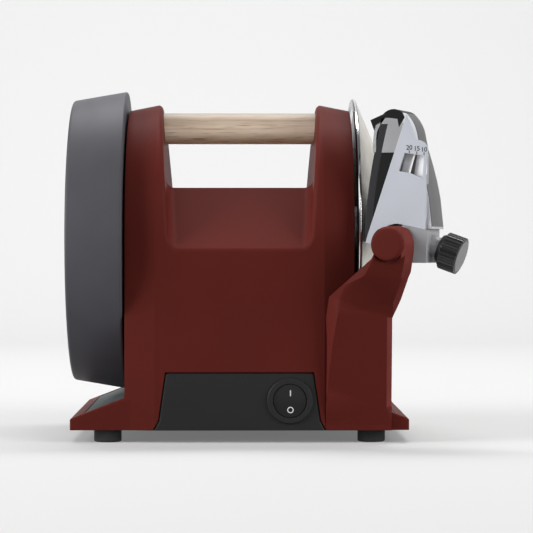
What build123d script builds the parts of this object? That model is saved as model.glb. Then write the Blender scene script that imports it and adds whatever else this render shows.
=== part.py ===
"""Electric knife sharpener: a geared motor turns one shaft through a moulded housing.

The left end of the shaft carries a honing wheel, the right end a conical diamond wheel.
A skewed knife guide on a red arm holds the blade along the cone of the diamond wheel.
Every size is in millimetres, x runs along the shaft, and the feet stand on z = 0.
"""
from build123d import *
from math import acos, atan2, cos, degrees, pi, radians, sin, sqrt, tan
import os

os.makedirs("parts", exist_ok=True)

# Place of the model: its origin lies on the table, under the middle of its envelope.
FRAME_SHIFT = (-17.7, 11, 0)

# Clearances
RUNNING_FIT = 0.05
SLIP_FIT = 0.2
SIDE_GAP = 1.6

# Housing
BODY_WIDTH = 154.4
COLUMN_WIDTH = 20.4
BODY_DEPTH = 191.6
COLUMN_TAPER = 4
AXIS_HEIGHT = 136
FOOT_HEIGHT = 8.5
WALL = 4
FLANGE_REACH = 36.6
FLANGE_INSET = 3.3
FLANGE_EDGE = 7.5
FLANGE_RISE = 21.5
FLANGE_ROUND = 1.5
FLANGE_BEVEL = 0.8
FIN_FOOT = 6.8
FIN_LEAN = 4.3
RIDGE_COVER = 6
RIDGE_DEPTH = 105
SADDLE_LIP = 130
SADDLE_RUNOUT = 20
SADDLE_RADIUS = 6
FIN_EDGE_RADIUS = 3.4

# Carry handle
HANDLE_DIAMETER = 22
HANDLE_DROP = 16.5
SOCKET_DEPTH = 10
SOCKET_WALL = 6

# Shaft and bearings
SHAFT_DIAMETER = 12
BEARING_DIAMETER = 32
BEARING_WIDTH = 9
BEARING_BOSS_WALL = 5
SEAL_DIAMETER = 22
HUB_WIDTH = 10
NUT_SIZE = 15
NUT_WIDTH = 8
THREAD_RADIUS = 5

# Honing wheel
HONING_WIDTH = 38.2
HONING_RADIUS_IN = 105.4
HONING_RADIUS_OUT = 98.8
HONING_HUB_RADIUS = 13
HONING_HUB_RECESS = 12
EDGE_ROUND = 2

# Diamond wheel
DIAMOND_RADIUS = 100.4
RIM_WIDTH = 3.1
RIM_ROUND = 1.2
FACE_ANGLE = 22
CONE_WIDTH = 26
CROWN_RADIUS = 45
CROWN_RISE = 4.8
DISH_THICKNESS = 3
HUB_RADIUS = 24

# Gear train
MODULE = 1
GEAR_TEETH = 60
COUNTER_TEETH = 48
PINION_TEETH = 12
PRESSURE_ANGLE = 20
TOOTH_SHARE = 0.42
GEAR_WIDTH = 9
PINION_WIDTH = 12
STUD_DIAMETER = 6
TRAIN_LEAN = 12
GEAR_PLATE_X = 16
GEAR_PLATE_THICKNESS = 3

# Motor
STATOR_SIZE = 84
STATOR_LENGTH = 38
ROTOR_DIAMETER = 44
AIR_GAP = 0.5
MOTOR_SHAFT_DIAMETER = 6
BELL_THICKNESS = 12
CAPACITOR_RADIUS = 17
FAN_DIAMETER = 60
FAN_WIDTH = 9

# Base, feet and front plate
BASE_THICKNESS = 3
FOOT_DIAMETER = 18.6
FOOT_INSET_X = 24.8
FOOT_INSET_Y = 12.5
PLATE_TOP_WIDTH = 99.4
PLATE_LOW_FLARE = 4.7
PLATE_FOOT_FLARE = 8.1
PLATE_TOP = 47.2
PLATE_THICKNESS = 3
PLATE_FLARE = 6.5
PLATE_LEDGE = 4
PLATE_CORNER = 2.4
PLATE_BEVEL = 1.2
TRAY_RIM = 9
TRAY_DEPTH = 1.8
POST_RADIUS = 5
SCREW_SHANK = 3.5
SCREW_HEAD = 3.6
SCREW_SINK = 1.8
SWITCH_X = 33.7
SWITCH_Z = 28.4
SWITCH_DIAMETER = 30.6
ROCKER_DIAMETER = 22
ROCKER_THICKNESS = 5
ROCKER_SWEEP = 60
ROCKER_PIN_LENGTH = 25.2
ROCKER_PIN_DEPTH = 3
ROCKER_PIN_RADIUS = 1.5
BEZEL_LIP = 2
BEZEL_PROUD = 1.6
SWITCH_DEPTH = 18
SWITCH_WELL = 10
INLET_X = 20
INLET_WIDTH = 27
INLET_HEIGHT = 20

# Arm and guide
BOSS_REACH = 20.8
BOSS_FORWARD = 20.6
BOSS_Z = 133
BOSS_RADIUS = 12.3
BOSS_LENGTH = 12
AXLE_DIAMETER = 8
ARM_BEVEL = 4.3
ARM_LOWER_BEVEL = 3.6
CAP_RADIUS = 9.8
CAP_PROUD = 3
GUIDE_START = 12.4
GUIDE_WIDTH = 30
CHEEK_THICKNESS = 2
HUB_REACH = 12.2
BLOCK_REACH = 22
COLLAR_RADIUS = 7
PAD_THICKNESS = 5
BACKING_THICKNESS = 12
BACKING_TOP = 61
BACKING_RELIEF = 9
POCKET_DEPTH = 3.2
KNOB_TILT = 19.5
KNOB_LIFT = 6.7
KNOB_DISTANCE = 31.8
KNOB_DIAMETER = 25
KNOB_WIDTH = 12
KNOB_NECK = 3
KNOB_RIBS = 30
SCREW_DIAMETER = 3.8
SCREW_START = 3

# Places worked out from the sizes above
side = BODY_WIDTH / 2
panel = side - COLUMN_WIDTH
half_depth = BODY_DEPTH / 2
crown_top = AXIS_HEIGHT + half_depth
handle_z = crown_top - HANDLE_DROP
gap_floor = panel - FIN_FOOT
gap_top = gap_floor + FIN_LEAN
flange_x = side + FLANGE_REACH
flange_y = half_depth - FLANGE_INSET
flange_tip = FOOT_HEIGHT + FLANGE_EDGE
foot_x = flange_x - FOOT_INSET_X
foot_y = flange_y - FOOT_INSET_Y
inner_depth = half_depth - WALL - COLUMN_TAPER + 1
honing_x = -side - SIDE_GAP
diamond_x = side + SIDE_GAP
pitch_gear = MODULE * GEAR_TEETH / 2
ridge_height = AXIS_HEIGHT + pitch_gear + RIDGE_COVER
pitch_pinion = MODULE * PINION_TEETH / 2
pitch_counter = MODULE * COUNTER_TEETH / 2
counter_z = AXIS_HEIGHT - sqrt((pitch_gear + pitch_pinion) ** 2 - TRAIN_LEAN**2)
motor_z = counter_z - sqrt((pitch_counter + pitch_pinion) ** 2 - TRAIN_LEAN**2)
base_top = FOOT_HEIGHT + BASE_THICKNESS
screw_x = side - WALL - POST_RADIUS + 0.1
screw_y = inner_depth - POST_RADIUS + 0.1
flange_slope = (FLANGE_RISE - FLANGE_EDGE) / FLANGE_REACH
skew = radians(FACE_ANGLE)
outward = Vector(cos(skew), -sin(skew), 0)
along_blade = Vector(sin(skew), cos(skew), 0)
boss_x = side + BOSS_REACH
boss_y = -DIAMOND_RADIUS - BOSS_FORWARD
pivot = Vector(boss_x, boss_y, BOSS_Z)


def write(builder, name):
    """Label a finished piece, set it in the shared frame and write it."""
    piece = builder.part.moved(Location(FRAME_SHIFT))
    piece.label = name
    export_step(piece, f"parts/{name}.step")


def shaft_plane(x, z=AXIS_HEIGHT, y=0):
    """A plane across the shaft direction, with its origin on an axis."""
    return Plane(origin=(x, y, z), x_dir=(0, 1, 0), z_dir=(1, 0, 0))


def guide_plane(v):
    """The guide's side view: x points away from the wheel, y up, v behind the boss face."""
    return Plane(origin=pivot + along_blade * v, x_dir=outward, z_dir=-along_blade)


def disc(plane, radius, width, bore=0):
    """A plain round piece along the normal of its plane."""
    with BuildPart() as round_piece:
        with BuildSketch(plane):
            Circle(radius)
            if bore:
                Circle(bore, mode=Mode.SUBTRACT)
        extrude(amount=width)
    return round_piece


def hex_nut(plane, height):
    """A hexagon nut with its thread left as a plain bore."""
    with BuildPart() as nut:
        with BuildSketch(plane):
            RegularPolygon(NUT_SIZE / 2, 6, major_radius=False)
            Circle(THREAD_RADIUS, mode=Mode.SUBTRACT)
        extrude(amount=height)
    return nut


def mesh_angle(y, z):
    """Direction of a neighbouring axis, in degrees, seen across the shaft."""
    return degrees(atan2(z, y))


def gear(teeth, plane, width, bore, facing, on_tooth=False):
    """A spur gear with involute flanks; a tooth or a gap looks in the facing direction."""
    pitch_radius = MODULE * teeth / 2
    base_radius = pitch_radius * cos(radians(PRESSURE_ANGLE))
    base_spread = tan(radians(PRESSURE_ANGLE)) - radians(PRESSURE_ANGLE)

    def half_tooth(radius):
        """Half the angle that a tooth takes at a radius, in degrees."""
        flank = acos(min(base_radius / radius, 1))
        return degrees(TOOTH_SHARE * pi / teeth + base_spread - tan(flank) + flank)

    root = pitch_radius - 1.2 * MODULE
    tip = pitch_radius + 0.85 * MODULE
    start = facing if on_tooth else facing + 180 / teeth
    corners = []
    for tooth in range(teeth):
        centre = start + 360 * tooth / teeth
        rise = [(radius, centre - half_tooth(radius)) for radius in (root, pitch_radius, tip)]
        fall = [(radius, 2 * centre - angle) for radius, angle in reversed(rise)]
        corners += [(r * cos(radians(a)), r * sin(radians(a))) for r, a in rise + fall]
    with BuildPart() as toothed:
        with BuildSketch(plane):
            with BuildLine():
                Polyline(*corners, close=True)
            make_face()
            Circle(bore, mode=Mode.SUBTRACT)
        extrude(amount=width)
    return toothed


def tray(step, grow):
    """The inlaid tray of one flange, or with some growth the pocket that holds it."""
    near = side + SIDE_GAP
    far = flange_x - TRAY_RIM
    near_top = FOOT_HEIGHT + FLANGE_RISE - flange_slope * (near - grow - side)
    far_top = FOOT_HEIGHT + FLANGE_RISE - flange_slope * (far + grow - side)
    sunk = 0.4 if grow < 0 else -1
    with BuildPart() as inlay:
        with BuildSketch(Plane.XZ.offset(-flange_y + TRAY_RIM - 1)):
            with BuildLine():
                Polyline(
                    (step * (near - grow), near_top - TRAY_DEPTH), (step * (near - grow), near_top - sunk),
                    (step * (far + grow), far_top - sunk), (step * (far + grow), far_top - TRAY_DEPTH),
                    close=True,
                )
            make_face()
        extrude(amount=2 * (flange_y - TRAY_RIM + 1))
    return inlay


# ---------------------------------------------------------------- support arm
# The red arm leans forward out of the right-hand corner and clears the wheel's rim.
arm_left = panel + 1
arm_knee = 96.4
arm_elbow = 83.7
arm_right = side + 24.6
arm_back = -inner_depth - SLIP_FIT
arm_toe = 12.3
arm_neck = 111.3
lobe_right = side + 37.7
lobe_top = BOSS_Z + BOSS_RADIUS - 0.1
facet_end = boss_y - 19
lean = Vector(0, boss_y + half_depth, arm_neck - arm_toe).normalized()
with BuildPart() as support_arm:
    with BuildSketch(Plane.XZ.offset(-boss_y + CAP_PROUD)):
        with BuildLine():
            Polyline(
                (arm_left, FOOT_HEIGHT), (arm_left, arm_knee), (boss_x - 10.5, 123.4), (boss_x, lobe_top),
                (boss_x + 8, lobe_top), (lobe_right - 3.6, BOSS_Z + 10.2), (lobe_right - 1, BOSS_Z + 6),
                (lobe_right, BOSS_Z + 1), (lobe_right, BOSS_Z - 14.6), (lobe_right - 3.2, arm_neck),
                (arm_right + 5.3, 96.3), (arm_right, arm_elbow), (arm_right, FOOT_HEIGHT), close=True,
            )
        make_face()
    extrude(amount=-60)
    with BuildSketch(Plane.YZ.offset(arm_left)):
        with BuildLine():
            Polyline(
                (-half_depth, FOOT_HEIGHT), (-half_depth, arm_toe), (boss_y, arm_neck), (boss_y, BOSS_Z + 20),
                (boss_y + 15.4, BOSS_Z + 20), (boss_y + 15.4, 118), (-half_depth - 1.2, 88), (arm_back, 60),
                (arm_back, FOOT_HEIGHT), close=True,
            )
        make_face()
    extrude(amount=boss_x, mode=Mode.INTERSECT)
    # a facet on the left that widens towards the top
    with BuildSketch(Plane.XY.offset(FOOT_HEIGHT)):
        with BuildLine():
            Polyline(
                (arm_left, -half_depth), (arm_left - 9, facet_end), (arm_left + 1.1, facet_end), close=True
            )
        make_face()
    with BuildSketch(Plane.XY.offset(arm_knee + 30)):
        with BuildLine():
            Polyline(
                (arm_left, -half_depth), (arm_left - 9, facet_end), (arm_left + 25.8, facet_end), close=True
            )
        make_face()
    loft(mode=Mode.SUBTRACT)
    front_edges = support_arm.edges().filter_by(Axis.Y, reverse=True).filter_by(
        lambda e: e.center().Y < boss_y + 10
    )
    chamfer(
        front_edges.filter_by(lambda e: arm_elbow < e.center().Z < BOSS_Z - 16 and e.center().X > arm_right),
        ARM_BEVEL,
    )
    upper_left = front_edges.filter_by(lambda e: e.center().Z > arm_knee and e.center().X < boss_x - 12)
    chamfer(upper_left.filter_by(lambda e: e.length > 12), ARM_BEVEL)
    # the bevel goes on down the long right edge
    foot_plane = Plane(
        origin=Vector(arm_right, -half_depth, arm_toe) + lean * 12, x_dir=(1, 0, 0), z_dir=lean
    )
    with BuildSketch(foot_plane):
        with BuildLine():
            Polyline((-ARM_LOWER_BEVEL - 1, -1), (1, -1), (1, ARM_LOWER_BEVEL + 1), close=True)
        make_face()
    extrude(amount=(arm_elbow + 1 - arm_toe) / lean.Z - 12, mode=Mode.SUBTRACT)
    with BuildSketch(guide_plane(0)):
        Circle(BOSS_RADIUS)
    extrude(amount=-BOSS_LENGTH)
    with BuildSketch(guide_plane(0)):
        Circle(BOSS_RADIUS)
    extrude(amount=20, mode=Mode.SUBTRACT)
    with BuildSketch(guide_plane(BOSS_LENGTH)):
        with Locations((0, BOSS_RADIUS)):
            Rectangle(90, 80)
    extrude(amount=-30, mode=Mode.SUBTRACT)
    with BuildSketch(guide_plane(0)):
        Circle(AXLE_DIAMETER / 2)
    extrude(amount=-BOSS_LENGTH, mode=Mode.SUBTRACT)
write(support_arm, "support_arm")


def half_gap(z):
    """Half the gap between the fins, which lean apart as they rise."""
    return gap_floor + FIN_LEAN * (z - ridge_height) / (crown_top - ridge_height)


# ---------------------------------------------------------------- housing
# One moulding: two tall fins, a low saddle between them, and a flange each side.
with BuildPart() as saddle_cut:
    with BuildSketch(Plane.YZ.offset(-panel)):
        with BuildLine():
            Polyline(
                (-half_depth - SADDLE_RUNOUT, SADDLE_LIP - SADDLE_RUNOUT), (-RIDGE_DEPTH / 2, ridge_height),
                (RIDGE_DEPTH / 2, ridge_height), (half_depth + SADDLE_RUNOUT, SADDLE_LIP - SADDLE_RUNOUT),
                (half_depth + SADDLE_RUNOUT, crown_top + 10), (-half_depth - SADDLE_RUNOUT, crown_top + 10),
                close=True,
            )
        make_face()
    extrude(amount=2 * panel)
    with BuildSketch(Plane.XZ.offset(-half_depth - 30)):
        with BuildLine():
            Polyline(
                (-half_gap(SADDLE_LIP - 25), SADDLE_LIP - 25), (half_gap(SADDLE_LIP - 25), SADDLE_LIP - 25),
                (half_gap(crown_top + 10), crown_top + 10), (-half_gap(crown_top + 10), crown_top + 10),
                close=True,
            )
        make_face()
    extrude(amount=BODY_DEPTH + 60, mode=Mode.INTERSECT)
    floor_edges = saddle_cut.edges().filter_by(
        lambda e: abs(e.center().X) > 1 and e.center().Z < ridge_height + 0.1
        and abs(e.center().Y) < half_depth + 15
    )
    fillet(floor_edges, SADDLE_RADIUS)

with BuildPart() as flange:
    with BuildSketch(Plane.XZ.offset(-flange_y)):
        with BuildLine():
            Polyline(
                (-flange_x, FOOT_HEIGHT), (-flange_x, flange_tip), (-side, FOOT_HEIGHT + FLANGE_RISE),
                (side, FOOT_HEIGHT + FLANGE_RISE), (flange_x, flange_tip), (flange_x, FOOT_HEIGHT),
                close=True,
            )
        make_face()
    extrude(amount=2 * flange_y)
    tips = flange.edges().filter_by(Axis.Y).filter_by(lambda e: abs(e.center().X) > flange_x - 0.1)
    fillet(tips.filter_by(lambda e: e.center().Z > FOOT_HEIGHT + 0.1), FLANGE_ROUND)
    flange_rims = flange.edges().filter_by(lambda e: abs(e.center().Y) > flange_y - 0.1)
    chamfer(flange_rims.filter_by(lambda e: e.center().Z > flange_tip), FLANGE_BEVEL)

with BuildPart() as housing_shell:
    # the outer columns of both fins lean back towards the wheels
    outer, inner = (side, COLUMN_TAPER), (panel, 0)
    for sections in (((-side, COLUMN_TAPER), (-panel, 0)), ((-panel, 0), inner), (inner, outer)):
        for x, inset in sections:
            with BuildSketch(Plane.YZ.offset(x)):
                with Locations((0, AXIS_HEIGHT)):
                    Circle(half_depth - inset)
                with Locations((0, FOOT_HEIGHT)):
                    Rectangle(
                        BODY_DEPTH - 2 * inset, AXIS_HEIGHT - FOOT_HEIGHT, align=(Align.CENTER, Align.MIN)
                    )
        loft()
    add(saddle_cut.part, mode=Mode.SUBTRACT)
    fin_edges = housing_shell.edges().filter_by(
        lambda e: gap_floor - 1 < abs(e.center().X) < gap_top + 1
        and e.center().Z > SADDLE_LIP and e.length > 60
    )
    fillet(fin_edges, FIN_EDGE_RADIUS)
    add(flange.part)
    # hollow under the saddle
    with BuildSketch(Plane.YZ.offset(-side + WALL)):
        with BuildLine():
            Polyline(
                (-inner_depth, FOOT_HEIGHT), (-inner_depth, SADDLE_LIP - 3),
                (-RIDGE_DEPTH / 2, ridge_height - WALL),
                (RIDGE_DEPTH / 2, ridge_height - WALL), (inner_depth, SADDLE_LIP - 3),
                (inner_depth, FOOT_HEIGHT), close=True,
            )
        make_face()
    extrude(amount=BODY_WIDTH - 2 * WALL, mode=Mode.SUBTRACT)
    # hollow in each fin, left solid round the handle's socket
    for x in (-side + WALL, panel + 1):
        with BuildSketch(Plane.YZ.offset(x)):
            with Locations((0, AXIS_HEIGHT)):
                Circle(half_depth - COLUMN_TAPER - WALL)
            with Locations((0, AXIS_HEIGHT - 2)):
                Rectangle(BODY_DEPTH, BODY_DEPTH, align=(Align.CENTER, Align.MAX), mode=Mode.SUBTRACT)
            with Locations((0, handle_z)):
                Circle(HANDLE_DIAMETER / 2 + SOCKET_WALL, mode=Mode.SUBTRACT)
        extrude(amount=side - WALL - panel - 1, mode=Mode.SUBTRACT)
    # hollow under the flanges
    with BuildSketch(Plane.XZ.offset(-flange_y + WALL)):
        with BuildLine():
            Polyline(
                (-flange_x + WALL, FOOT_HEIGHT), (-flange_x + WALL, FOOT_HEIGHT + 4.5),
                (-side + 2, FOOT_HEIGHT + FLANGE_RISE - WALL), (side - 2, FOOT_HEIGHT + FLANGE_RISE - WALL),
                (flange_x - WALL, FOOT_HEIGHT + 4.5), (flange_x - WALL, FOOT_HEIGHT), close=True,
            )
        make_face()
    extrude(amount=2 * (flange_y - WALL), mode=Mode.SUBTRACT)
    # bearing seats inside the side walls
    for x, step in ((-side, 1), (side, -1)):
        with BuildSketch(shaft_plane(x)):
            Circle(BEARING_DIAMETER / 2 + BEARING_BOSS_WALL)
        extrude(amount=step * (WALL + BEARING_WIDTH))
        with BuildSketch(shaft_plane(x + step * WALL)):
            Circle(BEARING_DIAMETER / 2)
        extrude(amount=step * BEARING_WIDTH, mode=Mode.SUBTRACT)
        with BuildSketch(shaft_plane(x)):
            Circle(SEAL_DIAMETER / 2)
        extrude(amount=step * WALL, mode=Mode.SUBTRACT)
    # sockets for the ends of the handle
    with BuildSketch(shaft_plane(-gap_top - SOCKET_DEPTH, handle_z)):
        Circle(HANDLE_DIAMETER / 2)
    extrude(amount=2 * (gap_top + SOCKET_DEPTH), mode=Mode.SUBTRACT)
    add(support_arm.part, mode=Mode.SUBTRACT)

# Recesses for the front and rear plates, with an opening behind each.
def plate_outline(grow):
    """Corner points of the foot plates: a trapezium with a flared foot."""
    top = PLATE_TOP_WIDTH / 2 + grow
    low, foot = top + PLATE_LOW_FLARE, top + PLATE_FOOT_FLARE
    return (
        (-foot, FOOT_HEIGHT), (-low, FOOT_HEIGHT + PLATE_FLARE), (-top, PLATE_TOP + grow),
        (top, PLATE_TOP + grow), (low, FOOT_HEIGHT + PLATE_FLARE), (foot, FOOT_HEIGHT),
    )


opening_top = PLATE_TOP_WIDTH / 2 - PLATE_LEDGE
opening_low = opening_top + PLATE_LOW_FLARE
with BuildPart() as plate_pocket:
    for y, step in ((-half_depth, 1), (half_depth, -1)):
        with BuildSketch(Plane.XZ.offset(-y + step)):
            with BuildLine():
                Polyline(*plate_outline(SLIP_FIT), close=True)
            make_face()
        extrude(amount=-step * (PLATE_THICKNESS + 1))
        with BuildSketch(Plane.XZ.offset(-y)):
            with BuildLine():
                Polyline(
                    (-opening_low, base_top), (-opening_top, PLATE_TOP - PLATE_LEDGE),
                    (opening_top, PLATE_TOP - PLATE_LEDGE), (opening_low, base_top), close=True,
                )
            make_face()
        extrude(amount=-step * 2 * WALL)
with BuildPart() as housing:
    add(housing_shell.part)
    add(plate_pocket.part, mode=Mode.SUBTRACT)
    for step in (-1, 1):
        add(tray(step, 0).part, mode=Mode.SUBTRACT)
    # posts for the screws of the base plate
    with BuildSketch(Plane.XY.offset(base_top)):
        with GridLocations(2 * screw_x, 2 * screw_y, 2, 2):
            Circle(POST_RADIUS)
    extrude(amount=22)
    with BuildSketch(Plane.XY.offset(base_top)):
        with GridLocations(2 * screw_x, 2 * screw_y, 2, 2):
            Circle(SCREW_SHANK / 2)
    extrude(amount=15, mode=Mode.SUBTRACT)
write(housing, "housing")

# ---------------------------------------------------------------- front and rear plates
# Black plates close the foot of the housing: the switch in front, the inlet behind.
for name, y, step in (("front_plate", -half_depth, 1), ("rear_plate", half_depth, -1)):
    with BuildPart() as plate:
        with BuildSketch(Plane.XZ.offset(-y)):
            with BuildLine():
                Polyline(*plate_outline(0), close=True)
            make_face()
        extrude(amount=-step * PLATE_THICKNESS)
        fillet(plate.edges().filter_by(Axis.Y).group_by(Axis.Z)[-1], PLATE_CORNER)
        face_rim = plate.faces().filter_by(Axis.Y).sort_by(Axis.Y)[0 if step == 1 else -1].edges()
        chamfer(face_rim.filter_by(lambda e: e.center().Z > FOOT_HEIGHT + 0.1), PLATE_BEVEL)
        with BuildSketch(Plane.XZ.offset(-y)):
            if step == 1:
                with Locations((SWITCH_X, SWITCH_Z)):
                    Circle(SWITCH_DIAMETER / 2 - BEZEL_LIP)
            else:
                with Locations((INLET_X, SWITCH_Z)):
                    Rectangle(INLET_WIDTH, INLET_HEIGHT)
        extrude(amount=-step * PLATE_THICKNESS, mode=Mode.SUBTRACT)
    write(plate, name)

# ---------------------------------------------------------------- switch
# A round bezel with a rocker that tips about a pin across its middle.
front = Plane.XZ.offset(half_depth)
rocker_radius = ROCKER_DIAMETER / 2
with BuildPart() as switch_bezel:
    with BuildSketch(front):
        with Locations((SWITCH_X, SWITCH_Z)):
            Circle(SWITCH_DIAMETER / 2)
    extrude(amount=BEZEL_PROUD)
    fillet(switch_bezel.faces().sort_by(Axis.Y)[0].edges(), 0.8)
    with BuildSketch(front):
        with Locations((SWITCH_X, SWITCH_Z)):
            Circle(SWITCH_DIAMETER / 2 - BEZEL_LIP - SLIP_FIT)
    extrude(amount=-SWITCH_DEPTH)
    with BuildSketch(front.offset(BEZEL_PROUD)):
        with Locations((SWITCH_X, SWITCH_Z)):
            Circle(rocker_radius + 2 * SLIP_FIT)
    extrude(amount=-SWITCH_WELL, mode=Mode.SUBTRACT)
    with BuildSketch(Plane.YZ.offset(SWITCH_X - ROCKER_PIN_LENGTH / 2)):
        with Locations((ROCKER_PIN_DEPTH - half_depth, SWITCH_Z)):
            Circle(ROCKER_PIN_RADIUS + RUNNING_FIT)
    extrude(amount=ROCKER_PIN_LENGTH, mode=Mode.SUBTRACT)
write(switch_bezel, "switch_bezel")

with BuildPart() as switch_rocker:
    with BuildSketch(front.offset(BEZEL_PROUD)):
        with Locations((SWITCH_X, SWITCH_Z)):
            Circle(rocker_radius)
    extrude(amount=-ROCKER_THICKNESS)
    with BuildSketch(Plane.YZ.offset(SWITCH_X - rocker_radius)):
        with Locations((-half_depth - BEZEL_PROUD - ROCKER_SWEEP + 1.1, SWITCH_Z)):
            Circle(ROCKER_SWEEP)
    extrude(amount=ROCKER_DIAMETER, mode=Mode.SUBTRACT)
    with BuildSketch(Plane.YZ.offset(SWITCH_X - ROCKER_PIN_LENGTH / 2)):
        with Locations((ROCKER_PIN_DEPTH - half_depth, SWITCH_Z)):
            Circle(ROCKER_PIN_RADIUS)
    extrude(amount=ROCKER_PIN_LENGTH)
write(switch_rocker, "switch_rocker")

# ---------------------------------------------------------------- power inlet
# The socket for a detachable lead, let into the rear plate.
inlet_mouth = Plane.XZ.offset(-half_depth)
with BuildPart() as power_inlet:
    with BuildSketch(inlet_mouth):
        with Locations((INLET_X, SWITCH_Z)):
            Rectangle(INLET_WIDTH + 6, INLET_HEIGHT + 6)
    extrude(amount=-1.5)
    fillet(power_inlet.edges().filter_by(Axis.Y), 3)
    with BuildSketch(inlet_mouth):
        with Locations((INLET_X, SWITCH_Z)):
            Rectangle(INLET_WIDTH - 2 * SLIP_FIT, INLET_HEIGHT - 2 * SLIP_FIT)
    extrude(amount=SWITCH_DEPTH)
    with BuildSketch(inlet_mouth.offset(-1.5)):
        with Locations((INLET_X, SWITCH_Z)):
            Rectangle(INLET_WIDTH - 4, INLET_HEIGHT - 5)
    extrude(amount=SWITCH_DEPTH - 3, mode=Mode.SUBTRACT)
    with BuildSketch(inlet_mouth.offset(-0.5)):
        with Locations((INLET_X, SWITCH_Z + 2), (INLET_X - 7, SWITCH_Z - 2), (INLET_X + 7, SWITCH_Z - 2)):
            Rectangle(2, 5)
    extrude(amount=SWITCH_DEPTH - 3)
write(power_inlet, "power_inlet")

# ---------------------------------------------------------------- base and feet
with BuildPart() as base_plate:
    with BuildSketch(Plane.XY.offset(FOOT_HEIGHT)):
        Rectangle(2 * (flange_x - WALL - SLIP_FIT), 2 * (flange_y - WALL - SLIP_FIT))
    extrude(amount=BASE_THICKNESS)
    with Locations(Plane.XY.offset(FOOT_HEIGHT)):
        with GridLocations(2 * screw_x, 2 * screw_y, 2, 2):
            Cylinder(2, BASE_THICKNESS, align=(Align.CENTER, Align.CENTER, Align.MIN), mode=Mode.SUBTRACT)
            Cone(SCREW_HEAD, 2, SCREW_SINK, align=(Align.CENTER, Align.CENTER, Align.MIN), mode=Mode.SUBTRACT)
write(base_plate, "base_plate")

foot_names = {(-1, -1): "front_left", (1, -1): "front_right", (-1, 1): "rear_left", (1, 1): "rear_right"}
for (sx, sy), place in foot_names.items():
    with BuildPart() as foot:
        with BuildSketch(Plane(origin=(sx * foot_x, sy * foot_y, 0))):
            Circle(FOOT_DIAMETER / 2)
        extrude(amount=FOOT_HEIGHT)
        fillet(foot.edges().group_by(Axis.Z)[0], 1.2)
    write(foot, f"{place}_foot")

with BuildPart() as base_screws:
    with GridLocations(2 * screw_x, 2 * screw_y, 2, 2):
        with Locations((0, 0, FOOT_HEIGHT)):
            Cone(SCREW_HEAD, 2, SCREW_SINK, align=(Align.CENTER, Align.CENTER, Align.MIN))
        with Locations((0, 0, FOOT_HEIGHT)):
            Cylinder(SCREW_SHANK / 2, BASE_THICKNESS + 12, align=(Align.CENTER, Align.CENTER, Align.MIN))
write(base_screws, "base_screws")

# ---------------------------------------------------------------- trays
for name, step in (("left_tray", -1), ("right_tray", 1)):
    write(tray(step, -SLIP_FIT), name)

# ---------------------------------------------------------------- handle
with BuildPart() as carry_handle:
    with BuildSketch(shaft_plane(-gap_top - SOCKET_DEPTH + SLIP_FIT, handle_z)):
        Circle(HANDLE_DIAMETER / 2 - RUNNING_FIT)
    extrude(amount=2 * (gap_top + SOCKET_DEPTH - SLIP_FIT))
write(carry_handle, "carry_handle")

# ---------------------------------------------------------------- shaft and bearings
for name, x in (("left_bearing", -side + WALL), ("right_bearing", side - WALL - BEARING_WIDTH)):
    write(disc(shaft_plane(x), BEARING_DIAMETER / 2, BEARING_WIDTH, SHAFT_DIAMETER / 2 + RUNNING_FIT), name)

radial = Plane(origin=(0, 0, AXIS_HEIGHT), x_dir=(1, 0, 0), z_dir=(0, -1, 0))
shaft_line = Axis((0, 0, AXIS_HEIGHT), (1, 0, 0))
shaft_radius = SHAFT_DIAMETER / 2
honing_seat = honing_x - HONING_WIDTH + HONING_HUB_RECESS
hub_front = diamond_x + HUB_WIDTH
with BuildPart() as main_shaft:
    with BuildSketch(radial):
        with BuildLine():
            Polyline(
                (honing_seat - NUT_WIDTH - 2, 0), (honing_seat - NUT_WIDTH - 2, THREAD_RADIUS),
                (honing_seat, THREAD_RADIUS), (honing_seat, shaft_radius), (hub_front, shaft_radius),
                (hub_front, THREAD_RADIUS), (hub_front + DISH_THICKNESS + NUT_WIDTH + 1, THREAD_RADIUS),
                (hub_front + DISH_THICKNESS + NUT_WIDTH + 1, 0), close=True,
            )
        make_face()
    revolve(axis=shaft_line)
    chamfer(main_shaft.edges().sort_by(Axis.X)[0], 0.8)
write(main_shaft, "main_shaft")

# ---------------------------------------------------------------- honing wheel
with BuildPart() as honing_wheel:
    with BuildSketch(radial):
        with BuildLine():
            Polyline(
                (honing_x, shaft_radius), (honing_x, HONING_RADIUS_IN),
                (honing_x - HONING_WIDTH, HONING_RADIUS_OUT), (honing_x - HONING_WIDTH, HONING_HUB_RADIUS),
                (honing_seat, HONING_HUB_RADIUS), (honing_seat, shaft_radius), close=True,
            )
        make_face()
    revolve(axis=shaft_line)
    circles = honing_wheel.edges().filter_by(GeomType.CIRCLE)
    fillet(circles.filter_by(lambda e: e.radius > HONING_HUB_RADIUS + 1), EDGE_ROUND)
write(honing_wheel, "honing_wheel")
with BuildPart() as honing_washer:
    with BuildSketch(shaft_plane(honing_seat)):
        Circle(HONING_HUB_RADIUS - 2)
        Circle(THREAD_RADIUS, mode=Mode.SUBTRACT)
    extrude(amount=-2)
write(honing_washer, "honing_washer")
write(hex_nut(shaft_plane(honing_seat - 2), -(NUT_WIDTH - 2)), "honing_nut")

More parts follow.
